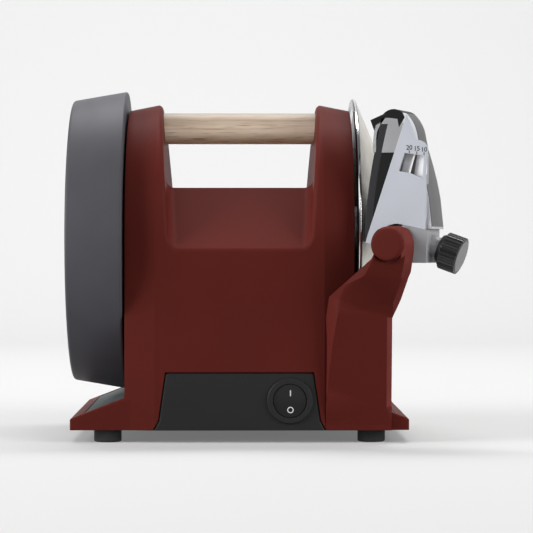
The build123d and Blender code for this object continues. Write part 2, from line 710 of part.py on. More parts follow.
# ---------------------------------------------------------------- diamond wheel
# A pressed steel dish: a round-edged rim, a conical grinding face and a flat crown.
rim_front = diamond_x + RIM_WIDTH
cone_top = rim_front + CONE_WIDTH * tan(skew)
cone_radius = DIAMOND_RADIUS - CONE_WIDTH
crown = cone_top + CROWN_RISE
with BuildPart() as diamond_wheel:
    with BuildSketch(radial):
        with BuildLine():
            Line((rim_front, DIAMOND_RADIUS), (cone_top, cone_radius))
            TangentArc((cone_top, cone_radius), (crown, CROWN_RADIUS), tangent=(sin(skew), -cos(skew)))
            Polyline(
                (crown, CROWN_RADIUS), (crown, HUB_RADIUS + 6), (hub_front + DISH_THICKNESS, HUB_RADIUS + 2),
                (hub_front + DISH_THICKNESS, THREAD_RADIUS), (hub_front, THREAD_RADIUS),
                (hub_front, HUB_RADIUS + 4), (crown - DISH_THICKNESS, HUB_RADIUS + 9),
                (crown - DISH_THICKNESS, CROWN_RADIUS), (cone_top - DISH_THICKNESS, cone_radius - 1),
                (diamond_x, DIAMOND_RADIUS - 5), (diamond_x, DIAMOND_RADIUS), (rim_front, DIAMOND_RADIUS),
            )
        make_face()
    revolve(axis=shaft_line)
    circles = diamond_wheel.edges().filter_by(GeomType.CIRCLE)
    fillet(circles.filter_by(lambda e: e.radius > DIAMOND_RADIUS - 0.1), RIM_ROUND)
write(diamond_wheel, "diamond_wheel")
with BuildPart() as diamond_hub:
    with BuildSketch(shaft_plane(diamond_x)):
        Circle(HUB_RADIUS)
        Circle(shaft_radius, mode=Mode.SUBTRACT)
    extrude(amount=HUB_WIDTH)
    chamfer(diamond_hub.edges().sort_by(Axis.X)[-1], 1)
write(diamond_hub, "diamond_hub")
write(hex_nut(shaft_plane(hub_front + DISH_THICKNESS), NUT_WIDTH), "diamond_nut")

# ---------------------------------------------------------------- gears
plate_right = GEAR_PLATE_X + GEAR_PLATE_THICKNESS
counter_x = plate_right + SIDE_GAP
pinion_x = counter_x + GEAR_WIDTH
gear_x = pinion_x + SIDE_GAP
toward_counter = mesh_angle(TRAIN_LEAN, counter_z - AXIS_HEIGHT)
write(gear(GEAR_TEETH, shaft_plane(gear_x), GEAR_WIDTH, shaft_radius, toward_counter), "drive_gear")
toward_motor = mesh_angle(-TRAIN_LEAN, motor_z - counter_z)
toward_shaft = mesh_angle(-TRAIN_LEAN, AXIS_HEIGHT - counter_z)
stud_bore = STUD_DIAMETER / 2 + RUNNING_FIT
counter_axis = dict(z=counter_z, y=TRAIN_LEAN)
gear_plane = shaft_plane(counter_x, **counter_axis)
write(gear(COUNTER_TEETH, gear_plane, GEAR_WIDTH, stud_bore, toward_motor), "counter_gear")
pinion_plane = shaft_plane(pinion_x, **counter_axis)
write(gear(PINION_TEETH, pinion_plane, PINION_WIDTH, stud_bore, toward_shaft, True), "counter_pinion")
from_motor = mesh_angle(TRAIN_LEAN, counter_z - motor_z)
motor_plane = shaft_plane(counter_x, z=motor_z)
write(gear(PINION_TEETH, motor_plane, GEAR_WIDTH, MOTOR_SHAFT_DIAMETER / 2, from_motor, True), "motor_pinion")

with BuildPart() as counter_stud:
    with BuildSketch(shaft_plane(GEAR_PLATE_X, **counter_axis)):
        Circle(STUD_DIAMETER / 2)
    extrude(amount=pinion_x + PINION_WIDTH + 2 - GEAR_PLATE_X)
    with BuildSketch(shaft_plane(pinion_x + PINION_WIDTH + SLIP_FIT, **counter_axis)):
        Circle(STUD_DIAMETER / 2 + 1.5)
    extrude(amount=1.5)
write(counter_stud, "counter_stud")

with BuildPart() as gear_plate:
    with BuildSketch(shaft_plane(GEAR_PLATE_X, z=base_top)):
        Rectangle(STATOR_SIZE, AXIS_HEIGHT + 20 - base_top, align=(Align.CENTER, Align.MIN))
    extrude(amount=GEAR_PLATE_THICKNESS)
    with BuildSketch(Plane.XY.offset(base_top)):
        with Locations((GEAR_PLATE_X, 0)):
            Rectangle(24, STATOR_SIZE, align=(Align.MIN, Align.CENTER))
    extrude(amount=GEAR_PLATE_THICKNESS)
    fillet(gear_plate.edges().filter_by(Axis.X).group_by(Axis.Z)[-1], 12)
    for y, z, radius in ((0, AXIS_HEIGHT, shaft_radius + 3), (0, motor_z, MOTOR_SHAFT_DIAMETER / 2 + 2),
                         (TRAIN_LEAN, counter_z, STUD_DIAMETER / 2)):
        with BuildSketch(shaft_plane(GEAR_PLATE_X, z, y)):
            Circle(radius)
        extrude(amount=GEAR_PLATE_THICKNESS, mode=Mode.SUBTRACT)
write(gear_plate, "gear_plate")

# ---------------------------------------------------------------- motor
# Two cast bells clamp the laminated stator; the rotor drives the first pinion.
right_bell_x = GEAR_PLATE_X - BELL_THICKNESS
stator_x = right_bell_x - STATOR_LENGTH
left_bell_x = stator_x - BELL_THICKNESS
motor_bore = ROTOR_DIAMETER / 2 + AIR_GAP
motor_shaft_radius = MOTOR_SHAFT_DIAMETER / 2
bell_floor = 4
coil_reach = BELL_THICKNESS - bell_floor - 1
for name, x, cup_x in (("motor_bell_right", right_bell_x, right_bell_x), ("motor_bell_left", left_bell_x,
                       left_bell_x + bell_floor)):
    with BuildPart() as bell:
        with BuildSketch(shaft_plane(x, motor_z)):
            RectangleRounded(STATOR_SIZE, STATOR_SIZE, 10)
        extrude(amount=BELL_THICKNESS)
        with BuildSketch(shaft_plane(cup_x, motor_z)):
            Circle(STATOR_SIZE / 2 - WALL)
        extrude(amount=BELL_THICKNESS - bell_floor, mode=Mode.SUBTRACT)
        with BuildSketch(shaft_plane(x, motor_z)):
            Circle(motor_shaft_radius + RUNNING_FIT)
        extrude(amount=BELL_THICKNESS, mode=Mode.SUBTRACT)
    write(bell, name)

with BuildPart() as motor_stator:
    with BuildSketch(shaft_plane(stator_x, motor_z)):
        RectangleRounded(STATOR_SIZE, STATOR_SIZE, 10)
        Circle(motor_bore, mode=Mode.SUBTRACT)
    extrude(amount=STATOR_LENGTH)
write(motor_stator, "motor_stator")

with BuildPart() as stator_windings:
    for x, reach in ((stator_x, -coil_reach), (stator_x + STATOR_LENGTH, coil_reach)):
        with BuildSketch(shaft_plane(x, motor_z)):
            Circle(motor_bore + 9)
            Circle(motor_bore + 1, mode=Mode.SUBTRACT)
        extrude(amount=reach)
        fillet(stator_windings.edges().filter_by(GeomType.CIRCLE).group_by(Axis.X)[-1 if reach > 0 else 0], 2)
write(stator_windings, "stator_windings")

rotor = disc(shaft_plane(stator_x, motor_z), ROTOR_DIAMETER / 2, STATOR_LENGTH, motor_shaft_radius)
write(rotor, "motor_rotor")
fan_x = left_bell_x - 2 - FAN_WIDTH
write(disc(shaft_plane(fan_x, motor_z), motor_shaft_radius, counter_x + GEAR_WIDTH - fan_x), "motor_shaft")
with BuildPart() as motor_fan:
    with BuildSketch(shaft_plane(fan_x, motor_z)):
        Circle(FAN_DIAMETER / 2)
        Circle(motor_shaft_radius, mode=Mode.SUBTRACT)
    extrude(amount=1.5)
    with BuildSketch(shaft_plane(fan_x, motor_z)):
        Circle(motor_shaft_radius + 3)
        Circle(motor_shaft_radius, mode=Mode.SUBTRACT)
        with PolarLocations(FAN_DIAMETER / 2 - 8, 8):
            Rectangle(14, 1.5)
    extrude(amount=FAN_WIDTH)
write(motor_fan, "motor_fan")

capacitor_y = STATOR_SIZE / 2 + CAPACITOR_RADIUS + 6
with BuildPart() as run_capacitor:
    with BuildSketch(shaft_plane(left_bell_x, base_top + CAPACITOR_RADIUS + 2, capacitor_y)):
        Circle(CAPACITOR_RADIUS)
    extrude(amount=STATOR_LENGTH + BELL_THICKNESS)
    fillet(run_capacitor.edges().filter_by(GeomType.CIRCLE), 1.5)
write(run_capacitor, "run_capacitor")
with BuildPart() as capacitor_clip:
    with BuildSketch(shaft_plane(stator_x + 6, base_top, capacitor_y)):
        with Locations((0, CAPACITOR_RADIUS + 2)):
            Circle(CAPACITOR_RADIUS + 2)
        Rectangle(2 * CAPACITOR_RADIUS + 8, 2, align=(Align.CENTER, Align.MIN))
        with Locations((0, CAPACITOR_RADIUS + 2)):
            Circle(CAPACITOR_RADIUS, mode=Mode.SUBTRACT)
    extrude(amount=14)
write(capacitor_clip, "capacitor_clip")

# ---------------------------------------------------------------- pivot of the guide
guide_end = GUIDE_START + GUIDE_WIDTH
axle_radius = AXLE_DIAMETER / 2
with BuildPart() as guide_axle:
    with BuildSketch(guide_plane(0)):
        Circle(axle_radius)
    extrude(amount=-(guide_end + 4))
write(guide_axle, "guide_axle")
write(disc(guide_plane(guide_end + SLIP_FIT), axle_radius + 3, -1.2, axle_radius), "axle_clip")
with BuildPart() as axle_cap:
    with BuildSketch(guide_plane(0)):
        Circle(CAP_RADIUS)
    extrude(amount=CAP_PROUD)
    fillet(axle_cap.faces().sort_by(Axis.Y)[0].edges(), 1)
write(axle_cap, "axle_cap")

# The pointer stands fixed on the axle and shows the set angle in the window of the scale plate.
pointer_lean = radians(12.8)
pointer_tip = 63


def tapered_arm(first, first_half, last, last_half):
    """Corner points of a tapered arm that leans as the pointer does, between two distances."""
    corners = ((first, -first_half), (last, -last_half), (last, last_half), (first, first_half))
    lean_sin, lean_cos = sin(pointer_lean), cos(pointer_lean)
    return [(r * lean_sin + w * lean_cos, r * lean_cos - w * lean_sin) for r, w in corners]


with BuildPart() as angle_pointer:
    with BuildSketch(guide_plane(GUIDE_START + CHEEK_THICKNESS + 0.6)):
        Circle(7)
        with BuildLine():
            Polyline(*tapered_arm(3, 4.5, pointer_tip, 0.6), close=True)
        make_face()
        Circle(axle_radius, mode=Mode.SUBTRACT)
    extrude(amount=-2)
write(angle_pointer, "angle_pointer")

# ---------------------------------------------------------------- knife guide
def pad_face(shift):
    """The gently bowed line that the blade lies on, moved away from the wheel."""
    return ThreePointArc((-21.7 + shift, 1.6), (-18.1 + shift, 42), (-10.3 + shift, 80))


def strip(first, last, top, inset):
    """A layer of the blade rest, between two copies of its bowed face."""
    with BuildPart() as layer:
        with BuildSketch(guide_plane(GUIDE_START + inset)):
            with BuildLine():
                near = pad_face(first)
                far = pad_face(last)
                Line(near @ 0, far @ 0)
                Line(near @ 1, far @ 1)
            make_face()
            with Locations((0, top)):
                Rectangle(100, 100, align=(Align.CENTER, Align.MIN), mode=Mode.SUBTRACT)
        extrude(amount=-(GUIDE_WIDTH - inset))
    return layer


with BuildPart() as pointer_pocket:
    with BuildSketch(guide_plane(GUIDE_START + CHEEK_THICKNESS)):
        Circle(8)
        with BuildLine():
            Polyline(*tapered_arm(0, 7, pointer_tip + 3, 11.5), close=True)
        make_face()
    extrude(amount=-POCKET_DEPTH)

with BuildPart() as rest_pad:
    add(strip(0, PAD_THICKNESS, 90, 2).part)
    # relief in which the mouth spring stands
    with BuildSketch(guide_plane(GUIDE_START + CHEEK_THICKNESS)):
        with BuildLine():
            Polyline(
                (-18, 60.8), (-13.7, 61.4), (-13.1, 70.6), (-12.2, 75.7), (-10.3, 81), (-18, 81), close=True
            )
        make_face()
    extrude(amount=-GUIDE_WIDTH, mode=Mode.SUBTRACT)
write(rest_pad, "rest_pad")
with BuildPart() as pad_backing:
    add(strip(PAD_THICKNESS, PAD_THICKNESS + BACKING_THICKNESS, BACKING_TOP, 2).part)
    add(pointer_pocket.part, mode=Mode.SUBTRACT)
    with BuildSketch(guide_plane(GUIDE_START)):
        Circle(BACKING_RELIEF)
    extrude(amount=-GUIDE_WIDTH, mode=Mode.SUBTRACT)
write(pad_backing, "pad_backing")

with BuildPart() as top_cap:
    with BuildSketch(guide_plane(GUIDE_START + CHEEK_THICKNESS)):
        with BuildLine():
            Polyline(
                (4.8, 87.4), (6.4, 84.2), (2.4, 77.6), (1.4, 83.2), (-5, 84.1), (-9.9, 83.9), (-10.9, 81.2),
                (-14.2, 79.3), (-15.1, 76.2), (-17.6, 82.8), (-8.5, 86.6),
            )
            ThreePointArc((-8.5, 86.6), (-1, 89.8), (4.8, 87.4))
        make_face()
    extrude(amount=CHEEK_THICKNESS - GUIDE_WIDTH)
    add(rest_pad.part, mode=Mode.SUBTRACT)
write(top_cap, "top_cap")

with BuildPart() as scale_plate:
    with BuildSketch(guide_plane(GUIDE_START)):
        with BuildLine():
            Polyline((-13.1, 0), (-20.3, 1), (-18.8, 6.3), (8.1, 85.5), (15.7, 69))
            ThreePointArc((15.7, 69), (20.4, 67), (22.9, 62.9))
            Polyline((22.9, 62.9), (21.2, 47.4), (22, 29.5), (21.2, 9.7), (6, 12.9))
            ThreePointArc((6, 12.9), (-6, 11.6), (-13.1, 0))
        make_face()
        with BuildLine():
            Polyline((2.9, 48.6), (11.3, 47), (19.4, 43.5), (20.4, 58.5), (7, 60.5), close=True)
        make_face(mode=Mode.SUBTRACT)
    extrude(amount=-CHEEK_THICKNESS)
write(scale_plate, "scale_plate")

# The casting: a split hub on the axle, a block for the clamp screw and an upright core.
knob_lean = radians(KNOB_TILT)
guide_middle = GUIDE_START + GUIDE_WIDTH / 2
screw_direction = outward * cos(knob_lean) - Vector(0, 0, sin(knob_lean))
screw_origin = pivot + along_blade * guide_middle + Vector(0, 0, KNOB_LIFT)


def screw_plane(distance):
    """A plane across the clamp screw, at a distance from above the axle."""
    return Plane(origin=screw_origin + screw_direction * distance, x_dir=along_blade, z_dir=screw_direction)


with BuildPart() as guide_body:
    with BuildSketch(guide_plane(GUIDE_START + CHEEK_THICKNESS)):
        Circle(HUB_REACH)
        with BuildLine():
            Polyline(
                (0, -HUB_REACH), (BLOCK_REACH, -HUB_REACH), (BLOCK_REACH, 10.3), (22.4, 10.3), (20.2, 31),
                (17.8, 43), (15, 53), (11.7, 64), (9.2, 74.5), (3, 84), (-7, 84.3), (-10, 80),
                (-13, 62), (-17, 42), (-20, 1.6), (-HUB_REACH, 0), close=True,
            )
        make_face()
    extrude(amount=CHEEK_THICKNESS - GUIDE_WIDTH)
    with BuildSketch(guide_plane(GUIDE_START)):
        Circle(HUB_REACH)
        with BuildLine():
            Polyline(
                (0, -HUB_REACH), (BLOCK_REACH, -HUB_REACH), (BLOCK_REACH, 9.4), (6, 12.8), (0, 9), close=True
            )
        make_face()
    extrude(amount=-CHEEK_THICKNESS)
    for piece in (rest_pad, pad_backing, scale_plate, top_cap):
        add(piece.part, mode=Mode.SUBTRACT)
    # a ledge behind the window, then the fan-shaped pocket in which the pointer swings
    with BuildSketch(guide_plane(GUIDE_START + CHEEK_THICKNESS)):
        with BuildLine():
            Polyline((10, 38), (21, 40), (21.3, 60), (6, 62), close=True)
        make_face()
    extrude(amount=-POCKET_DEPTH - 3)
    add(pointer_pocket.part, mode=Mode.SUBTRACT)
    with BuildSketch(guide_plane(GUIDE_START)):
        Circle(axle_radius + RUNNING_FIT)
        with Locations((0, axle_radius + 6)):
            Rectangle(1.5, 14)
    extrude(amount=-GUIDE_WIDTH, mode=Mode.SUBTRACT)
    # a round collar leads the clamp screw up to its knob
    with BuildSketch(screw_plane(BLOCK_REACH - 6)):
        Circle(COLLAR_RADIUS)
    extrude(amount=KNOB_DISTANCE - KNOB_NECK - SLIP_FIT - BLOCK_REACH + 6)
    with BuildSketch(screw_plane(-SCREW_START - SLIP_FIT)):
        Circle(SCREW_DIAMETER / 2 + SLIP_FIT)
    extrude(amount=KNOB_DISTANCE + SCREW_START, mode=Mode.SUBTRACT)
write(guide_body, "guide_body")

with BuildPart() as guide_bow:
    with BuildSketch(guide_plane(GUIDE_START + CHEEK_THICKNESS)):
        with BuildLine():
            Polyline(
                (22.4, 10.3), (24.9, 10.3), (22.7, 30.9), (20.3, 42.8), (17.5, 53.3), (14.2, 64.1),
                (12.4, 72.9),
            )
            ThreePointArc((12.4, 72.9), (9.7, 80.9), (4.8, 87.4))
            Line((4.8, 87.4), (3, 84))
            Polyline((3, 84), (9.2, 74.5), (11.7, 64), (15, 53), (17.8, 43), (20.2, 31), (22.4, 10.3))
        make_face()
    extrude(amount=CHEEK_THICKNESS - GUIDE_WIDTH)
    for piece in (pointer_pocket, top_cap, guide_body):
        add(piece.part, mode=Mode.SUBTRACT)
write(guide_bow, "guide_bow")

with BuildPart() as blade_spring:
    with BuildSketch(guide_plane(GUIDE_START + CHEEK_THICKNESS + 0.6)):
        with BuildLine():
            Polyline(
                (-15.1, 76.2), (-15.8, 70), (-16.2, 61), (-13.9, 61.4), (-13.7, 70.6), (-13.1, 75.2),
                (-11, 79.2), (-10.9, 81.2), (-14.2, 79.3), close=True,
            )
        make_face()
    extrude(amount=CHEEK_THICKNESS + 1.2 - GUIDE_WIDTH)
write(blade_spring, "blade_spring")

# ---------------------------------------------------------------- lock knob
knob_radius = KNOB_DIAMETER / 2
with BuildPart() as lock_knob:
    with BuildSketch(screw_plane(KNOB_DISTANCE - KNOB_NECK)):
        Circle(knob_radius - 3)
    with BuildSketch(screw_plane(KNOB_DISTANCE)):
        Circle(knob_radius - 1)
    loft()
    with BuildSketch(screw_plane(KNOB_DISTANCE)):
        with BuildLine():
            Polyline(
                *[((knob_radius - 0.8 * (i % 4 > 1)) * cos(pi * i / (2 * KNOB_RIBS)),
                   (knob_radius - 0.8 * (i % 4 > 1)) * sin(pi * i / (2 * KNOB_RIBS)))
                  for i in range(4 * KNOB_RIBS)], close=True,
            )
        make_face()
    extrude(amount=KNOB_WIDTH)
    with BuildSketch(screw_plane(KNOB_DISTANCE + KNOB_WIDTH - 1)):
        Circle(knob_radius - 2)
    extrude(amount=1, mode=Mode.SUBTRACT)
    with BuildSketch(screw_plane(KNOB_DISTANCE - KNOB_NECK)):
        Circle(SCREW_DIAMETER / 2)
    extrude(amount=12, mode=Mode.SUBTRACT)
write(lock_knob, "lock_knob")
write(disc(screw_plane(KNOB_DISTANCE + KNOB_WIDTH - 1), knob_radius - 2, 1.4), "knob_cap")
write(disc(screw_plane(-SCREW_START), SCREW_DIAMETER / 2, SCREW_START + KNOB_DISTANCE + 6), "clamp_screw")
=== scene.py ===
"""Electric knife sharpener: the visible pieces, in the order in which the machine is put together."""

from math import cos, pi, radians, sin, sqrt

import bmesh
import bpy
from mathutils import Matrix, Vector


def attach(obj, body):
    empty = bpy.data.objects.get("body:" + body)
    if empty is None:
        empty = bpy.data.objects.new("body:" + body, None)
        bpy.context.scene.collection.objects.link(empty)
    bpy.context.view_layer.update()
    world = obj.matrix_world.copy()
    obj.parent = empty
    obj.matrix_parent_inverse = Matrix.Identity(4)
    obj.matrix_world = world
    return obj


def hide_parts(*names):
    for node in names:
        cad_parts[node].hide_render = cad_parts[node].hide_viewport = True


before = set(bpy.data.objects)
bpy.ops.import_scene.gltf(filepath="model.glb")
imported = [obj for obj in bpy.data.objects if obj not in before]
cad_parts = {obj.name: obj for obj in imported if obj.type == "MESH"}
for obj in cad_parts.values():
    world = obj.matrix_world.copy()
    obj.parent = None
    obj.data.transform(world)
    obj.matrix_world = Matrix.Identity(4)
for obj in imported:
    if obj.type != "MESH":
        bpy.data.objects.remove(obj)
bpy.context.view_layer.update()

# ---------------------------------------------------------------- housing
# One die-cast moulding with two fins, a saddle and a flange on each side.
# It is coated with a brownish-red enamel that keeps a very fine peel.


def shade(red, green, blue):
    """A colour as the eye names it, 0 to 255, turned into the value a finish needs."""
    parts = [part / 255 for part in (red, green, blue)]
    return tuple(p / 12.92 if p < 0.04045 else ((p + 0.055) / 1.055) ** 2.4 for p in parts)


def new_finish(name, colour, roughness, metal=0.0, sheen=0.0, shine=0.5):
    """A plain finish, to which grain, mottling and painted light and shade are added."""
    finish = bpy.data.materials.new(name)
    finish.use_nodes = True
    surface = finish.node_tree.nodes["Principled BSDF"]
    surface.inputs["Base Color"].default_value = (*shade(*colour), 1)
    surface.inputs["Roughness"].default_value = roughness
    surface.inputs["Metallic"].default_value = metal
    surface.inputs["Sheen Weight"].default_value = sheen
    surface.inputs["Specular IOR Level"].default_value = shine
    return finish


def pattern(finish, kind, scale, stretch=(1, 1, 1), detail=3.0):
    """A noise or cell pattern that lies fixed in the piece; scale is cells per metre."""
    nodes, links = finish.node_tree.nodes, finish.node_tree.links
    place = nodes.new("ShaderNodeTexCoord")
    spread = nodes.new("ShaderNodeMapping")
    spread.inputs["Scale"].default_value = stretch
    cells = nodes.new(kind)
    cells.inputs["Scale"].default_value = scale
    if "Detail" in cells.inputs:
        cells.inputs["Detail"].default_value = detail
    links.new(place.outputs["Object"], spread.inputs["Vector"])
    links.new(spread.outputs["Vector"], cells.inputs["Vector"])
    return cells.outputs["Fac"] if "Fac" in cells.outputs else cells.outputs["Distance"]


def mix_colour(finish, share, colour, low=0.0, high=1.0):
    """Lays a second colour over the finish where share lies between low and high."""
    nodes, links = finish.node_tree.nodes, finish.node_tree.links
    surface = nodes["Principled BSDF"]
    ramp = nodes.new("ShaderNodeMapRange")
    ramp.inputs["From Min"].default_value = low
    ramp.inputs["From Max"].default_value = high
    blend = nodes.new("ShaderNodeMix")
    blend.data_type = "RGBA"
    source = surface.inputs["Base Color"]
    if source.links:
        links.new(source.links[0].from_socket, blend.inputs["A"])
    else:
        blend.inputs["A"].default_value = source.default_value
    blend.inputs["B"].default_value = (*shade(*colour), 1)
    links.new(share, ramp.inputs["Value"])
    links.new(ramp.outputs["Result"], blend.inputs["Factor"])
    links.new(blend.outputs["Result"], source)


def raise_grain(finish, height, depth):
    """Raises the surface by up to depth metres where height is high."""
    nodes, links = finish.node_tree.nodes, finish.node_tree.links
    surface = nodes["Principled BSDF"]
    bump = nodes.new("ShaderNodeBump")
    bump.inputs["Distance"].default_value = depth
    normal = surface.inputs["Normal"]
    if normal.links:
        links.new(normal.links[0].from_socket, bump.inputs["Normal"])
    links.new(height, bump.inputs["Height"])
    links.new(bump.outputs["Normal"], normal)


def vary_gloss(finish, share, low, high):
    """Lets the roughness run from low to high with share."""
    nodes, links = finish.node_tree.nodes, finish.node_tree.links
    surface = nodes["Principled BSDF"]
    ramp = nodes.new("ShaderNodeMapRange")
    ramp.inputs["To Min"].default_value = low
    ramp.inputs["To Max"].default_value = high
    links.new(share, ramp.inputs["Value"])
    links.new(ramp.outputs["Result"], surface.inputs["Roughness"])


def soften_edges(finish, radius):
    """Breaks the light on every edge as a rubbed or coated edge does; radius in metres."""
    nodes, links = finish.node_tree.nodes, finish.node_tree.links
    edge = nodes.new("ShaderNodeBevel")
    edge.samples = 4
    edge.inputs["Radius"].default_value = radius
    links.new(edge.outputs["Normal"], nodes["Principled BSDF"].inputs["Normal"])


def put_on(finish, *nodes):
    """Gives CAD nodes that keep their own mesh a finish."""
    for node in nodes:
        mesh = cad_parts[node].data
        mesh.materials.clear()
        mesh.materials.append(finish)


enamel = new_finish("red_enamel", (84, 32, 27), 0.46, shine=0.035)
soften_edges(enamel, 0.0008)
mix_colour(enamel, pattern(enamel, "ShaderNodeTexNoise", 14), (88, 33, 28), 0.35, 0.75)
raise_grain(enamel, pattern(enamel, "ShaderNodeTexNoise", 900, detail=2), 0.00004)
vary_gloss(enamel, pattern(enamel, "ShaderNodeTexNoise", 60), 0.44, 0.56)
put_on(enamel, "housing")

# ---------------------------------------------------------------- base, feet and trays
# A black sheet closes the bottom and four turned rubber feet stand under its corners.
# The two flanges carry inlaid mats with a fine grain, where small tools are put down.
black_sheet = new_finish("black_sheet", (36, 36, 37), 0.55)
raise_grain(black_sheet, pattern(black_sheet, "ShaderNodeTexNoise", 700), 0.00003)
mix_colour(black_sheet, pattern(black_sheet, "ShaderNodeTexNoise", 25), (44, 44, 45), 0.4, 0.8)
put_on(black_sheet, "base_plate")

foot_rubber = new_finish("foot_rubber", (30, 30, 31), 0.85, sheen=0.1)
raise_grain(foot_rubber, pattern(foot_rubber, "ShaderNodeTexNoise", 1500), 0.00003)
mix_colour(foot_rubber, pattern(foot_rubber, "ShaderNodeTexNoise", 120), (38, 38, 37), 0.45, 0.8)
put_on(foot_rubber, "front_left_foot", "front_right_foot", "rear_left_foot", "rear_right_foot")

tray_mat = new_finish("tray_mat", (66, 74, 74), 0.62)
raise_grain(tray_mat, pattern(tray_mat, "ShaderNodeTexVoronoi", 1400), 0.00006)
mix_colour(tray_mat, pattern(tray_mat, "ShaderNodeTexNoise", 40), (60, 67, 67), 0.4, 0.75)
put_on(tray_mat, "left_tray", "right_tray")

# ---------------------------------------------------------------- motor and gears
# A four-pole motor sits low in the housing, held by two cast bells and a steel plate.
# Its pinion drives two steps of moulded gears; a capacitor lies beside it in a clip.
steel = new_finish("plain_steel", (172, 173, 176), 0.32, metal=1.0)
vary_gloss(steel, pattern(steel, "ShaderNodeTexNoise", 350, (0.05, 1, 1)), 0.24, 0.42)
mix_colour(steel, pattern(steel, "ShaderNodeTexNoise", 90), (150, 151, 155), 0.45, 0.8)
put_on(steel, "base_screws", "gear_plate", "counter_stud", "motor_shaft", "capacitor_clip", "left_bearing",
       "right_bearing", "main_shaft", "honing_washer", "honing_nut", "diamond_nut", "guide_axle", "axle_clip",
       "clamp_screw")

cast_alloy = new_finish("cast_alloy", (168, 169, 171), 0.5, metal=1.0)
raise_grain(cast_alloy, pattern(cast_alloy, "ShaderNodeTexNoise", 600), 0.00008)
mix_colour(cast_alloy, pattern(cast_alloy, "ShaderNodeTexNoise", 70), (140, 141, 144), 0.4, 0.8)
put_on(cast_alloy, "motor_bell_left", "motor_bell_right", "diamond_hub")

laminations = new_finish("laminations", (96, 98, 102), 0.45, metal=0.9)
raise_grain(laminations, pattern(laminations, "ShaderNodeTexWave", 320), 0.0001)
put_on(laminations, "motor_stator", "motor_rotor")

copper_wire = new_finish("copper_wire", (176, 92, 48), 0.35, metal=0.9)
raise_grain(copper_wire, pattern(copper_wire, "ShaderNodeTexWave", 500, (1, 0.3, 0.3)), 0.0003)
put_on(copper_wire, "stator_windings")

gear_plastic = new_finish("gear_plastic", (216, 212, 200), 0.42)
raise_grain(gear_plastic, pattern(gear_plastic, "ShaderNodeTexNoise", 500), 0.00002)
mix_colour(gear_plastic, pattern(gear_plastic, "ShaderNodeTexNoise", 60), (205, 200, 186), 0.4, 0.8)
put_on(gear_plastic, "drive_gear", "counter_gear", "counter_pinion", "motor_pinion")

# ---------------------------------------------------------------- front and rear plates, switch and inlet
# Moulded black plates close the foot of the housing. The round rocker tips in its bezel,
# and the inlet behind takes a detachable lead on three pins.
black_plastic = new_finish("black_plastic", (33, 33, 34), 0.5, shine=0.2)
soften_edges(black_plastic, 0.0005)
raise_grain(black_plastic, pattern(black_plastic, "ShaderNodeTexNoise", 1100, detail=2), 0.00003)
mix_colour(black_plastic, pattern(black_plastic, "ShaderNodeTexNoise", 30), (36, 36, 37), 0.4, 0.8)
put_on(black_plastic, "front_plate", "rear_plate", "switch_bezel", "power_inlet", "run_capacitor",
       "motor_fan")

rocker_plastic = new_finish("rocker_plastic", (30, 30, 31), 0.36, shine=0.25)
soften_edges(rocker_plastic, 0.0005)
raise_grain(rocker_plastic, pattern(rocker_plastic, "ShaderNodeTexNoise", 1300), 0.00001)
vary_gloss(rocker_plastic, pattern(rocker_plastic, "ShaderNodeTexNoise", 45), 0.26, 0.38)
put_on(rocker_plastic, "switch_rocker")

MM = 0.001
REST_PLACE = Vector((-17.7, 11, 0)) * MM
BODY_DEPTH = 191.6
SWITCH_X = 33.7
SWITCH_Z = 28.4
ROCKER_SWEEP = 60
ROCKER_PROUD = 0.5
MARK_X = SWITCH_X + 0.3
OFF_MARK_Z = SWITCH_Z - 6.1
ON_MARK_Z = SWITCH_Z + 5.1
mark_white = new_finish("mark_white", (226, 226, 222), 0.5)
raise_grain(mark_white, pattern(mark_white, "ShaderNodeTexNoise", 2500), 0.00001)


def set_up(name, data):
    """Stands a mesh, lamp, text or camera in the scene."""
    thing = bpy.data.objects.new(name, data)
    bpy.context.scene.collection.objects.link(thing)
    return thing


def mesh_piece(name, points, faces, finish, smooth=False):
    """A piece made of points in millimetres of the machine, turned into metres in the shared frame."""
    mesh = bpy.data.meshes.new(name)
    mesh.from_pydata([Vector(p) * MM + REST_PLACE for p in points], [], faces)
    shape = bmesh.new()
    shape.from_mesh(mesh)
    bmesh.ops.remove_doubles(shape, verts=shape.verts, dist=1e-7)
    bmesh.ops.recalc_face_normals(shape, faces=shape.faces)
    shape.to_mesh(mesh)
    shape.free()
    mesh.materials.append(finish)
    for face in mesh.polygons:
        face.use_smooth = smooth
    return set_up(name, mesh)


def rocker_face(x, z, lift):
    """A point on the hollow face of the rocker, raised a little."""
    hollow = ROCKER_SWEEP - sqrt(ROCKER_SWEEP**2 - (z - SWITCH_Z) ** 2)
    return (x, -BODY_DEPTH / 2 - ROCKER_PROUD - hollow - lift, z)


PRINT_ROOT = 0.05
PRINT_LIFT = 0.06


def ring_mark(name, middle, outline, inner, finish, lay, lift=PRINT_LIFT):
    """A printed ring or bar: an outer and an inner outline joined, laid on a face."""
    rows = []
    for height in (-PRINT_ROOT, lift):
        for edge in (outline, inner):
            rows.append([lay(middle[0] + a, middle[1] + b, height) for a, b in edge])
    count = len(outline)
    points = [p for row in rows for p in row]
    faces = []
    for first, second in ((0, 1), (1, 3), (3, 2), (2, 0)):
        for i in range(count):
            j = (i + 1) % count
            faces.append((first * count + i, first * count + j, second * count + j, second * count + i))
    return mesh_piece(name, points, faces, finish)


def circle_points(radius, count=48):
    """The corners of a circle about the middle, anticlockwise."""
    return [(radius * cos(2 * pi * i / count), radius * sin(2 * pi * i / count)) for i in range(count)]


def bar_points(width, height, count=48):
    """A bar with rounded ends, with as many corners as a circle has."""
    half = height / 2 - width / 2
    return [(x * width / 2, y * width / 2 + (half if y >= 0 else -half)) for x, y in circle_points(1, count)]


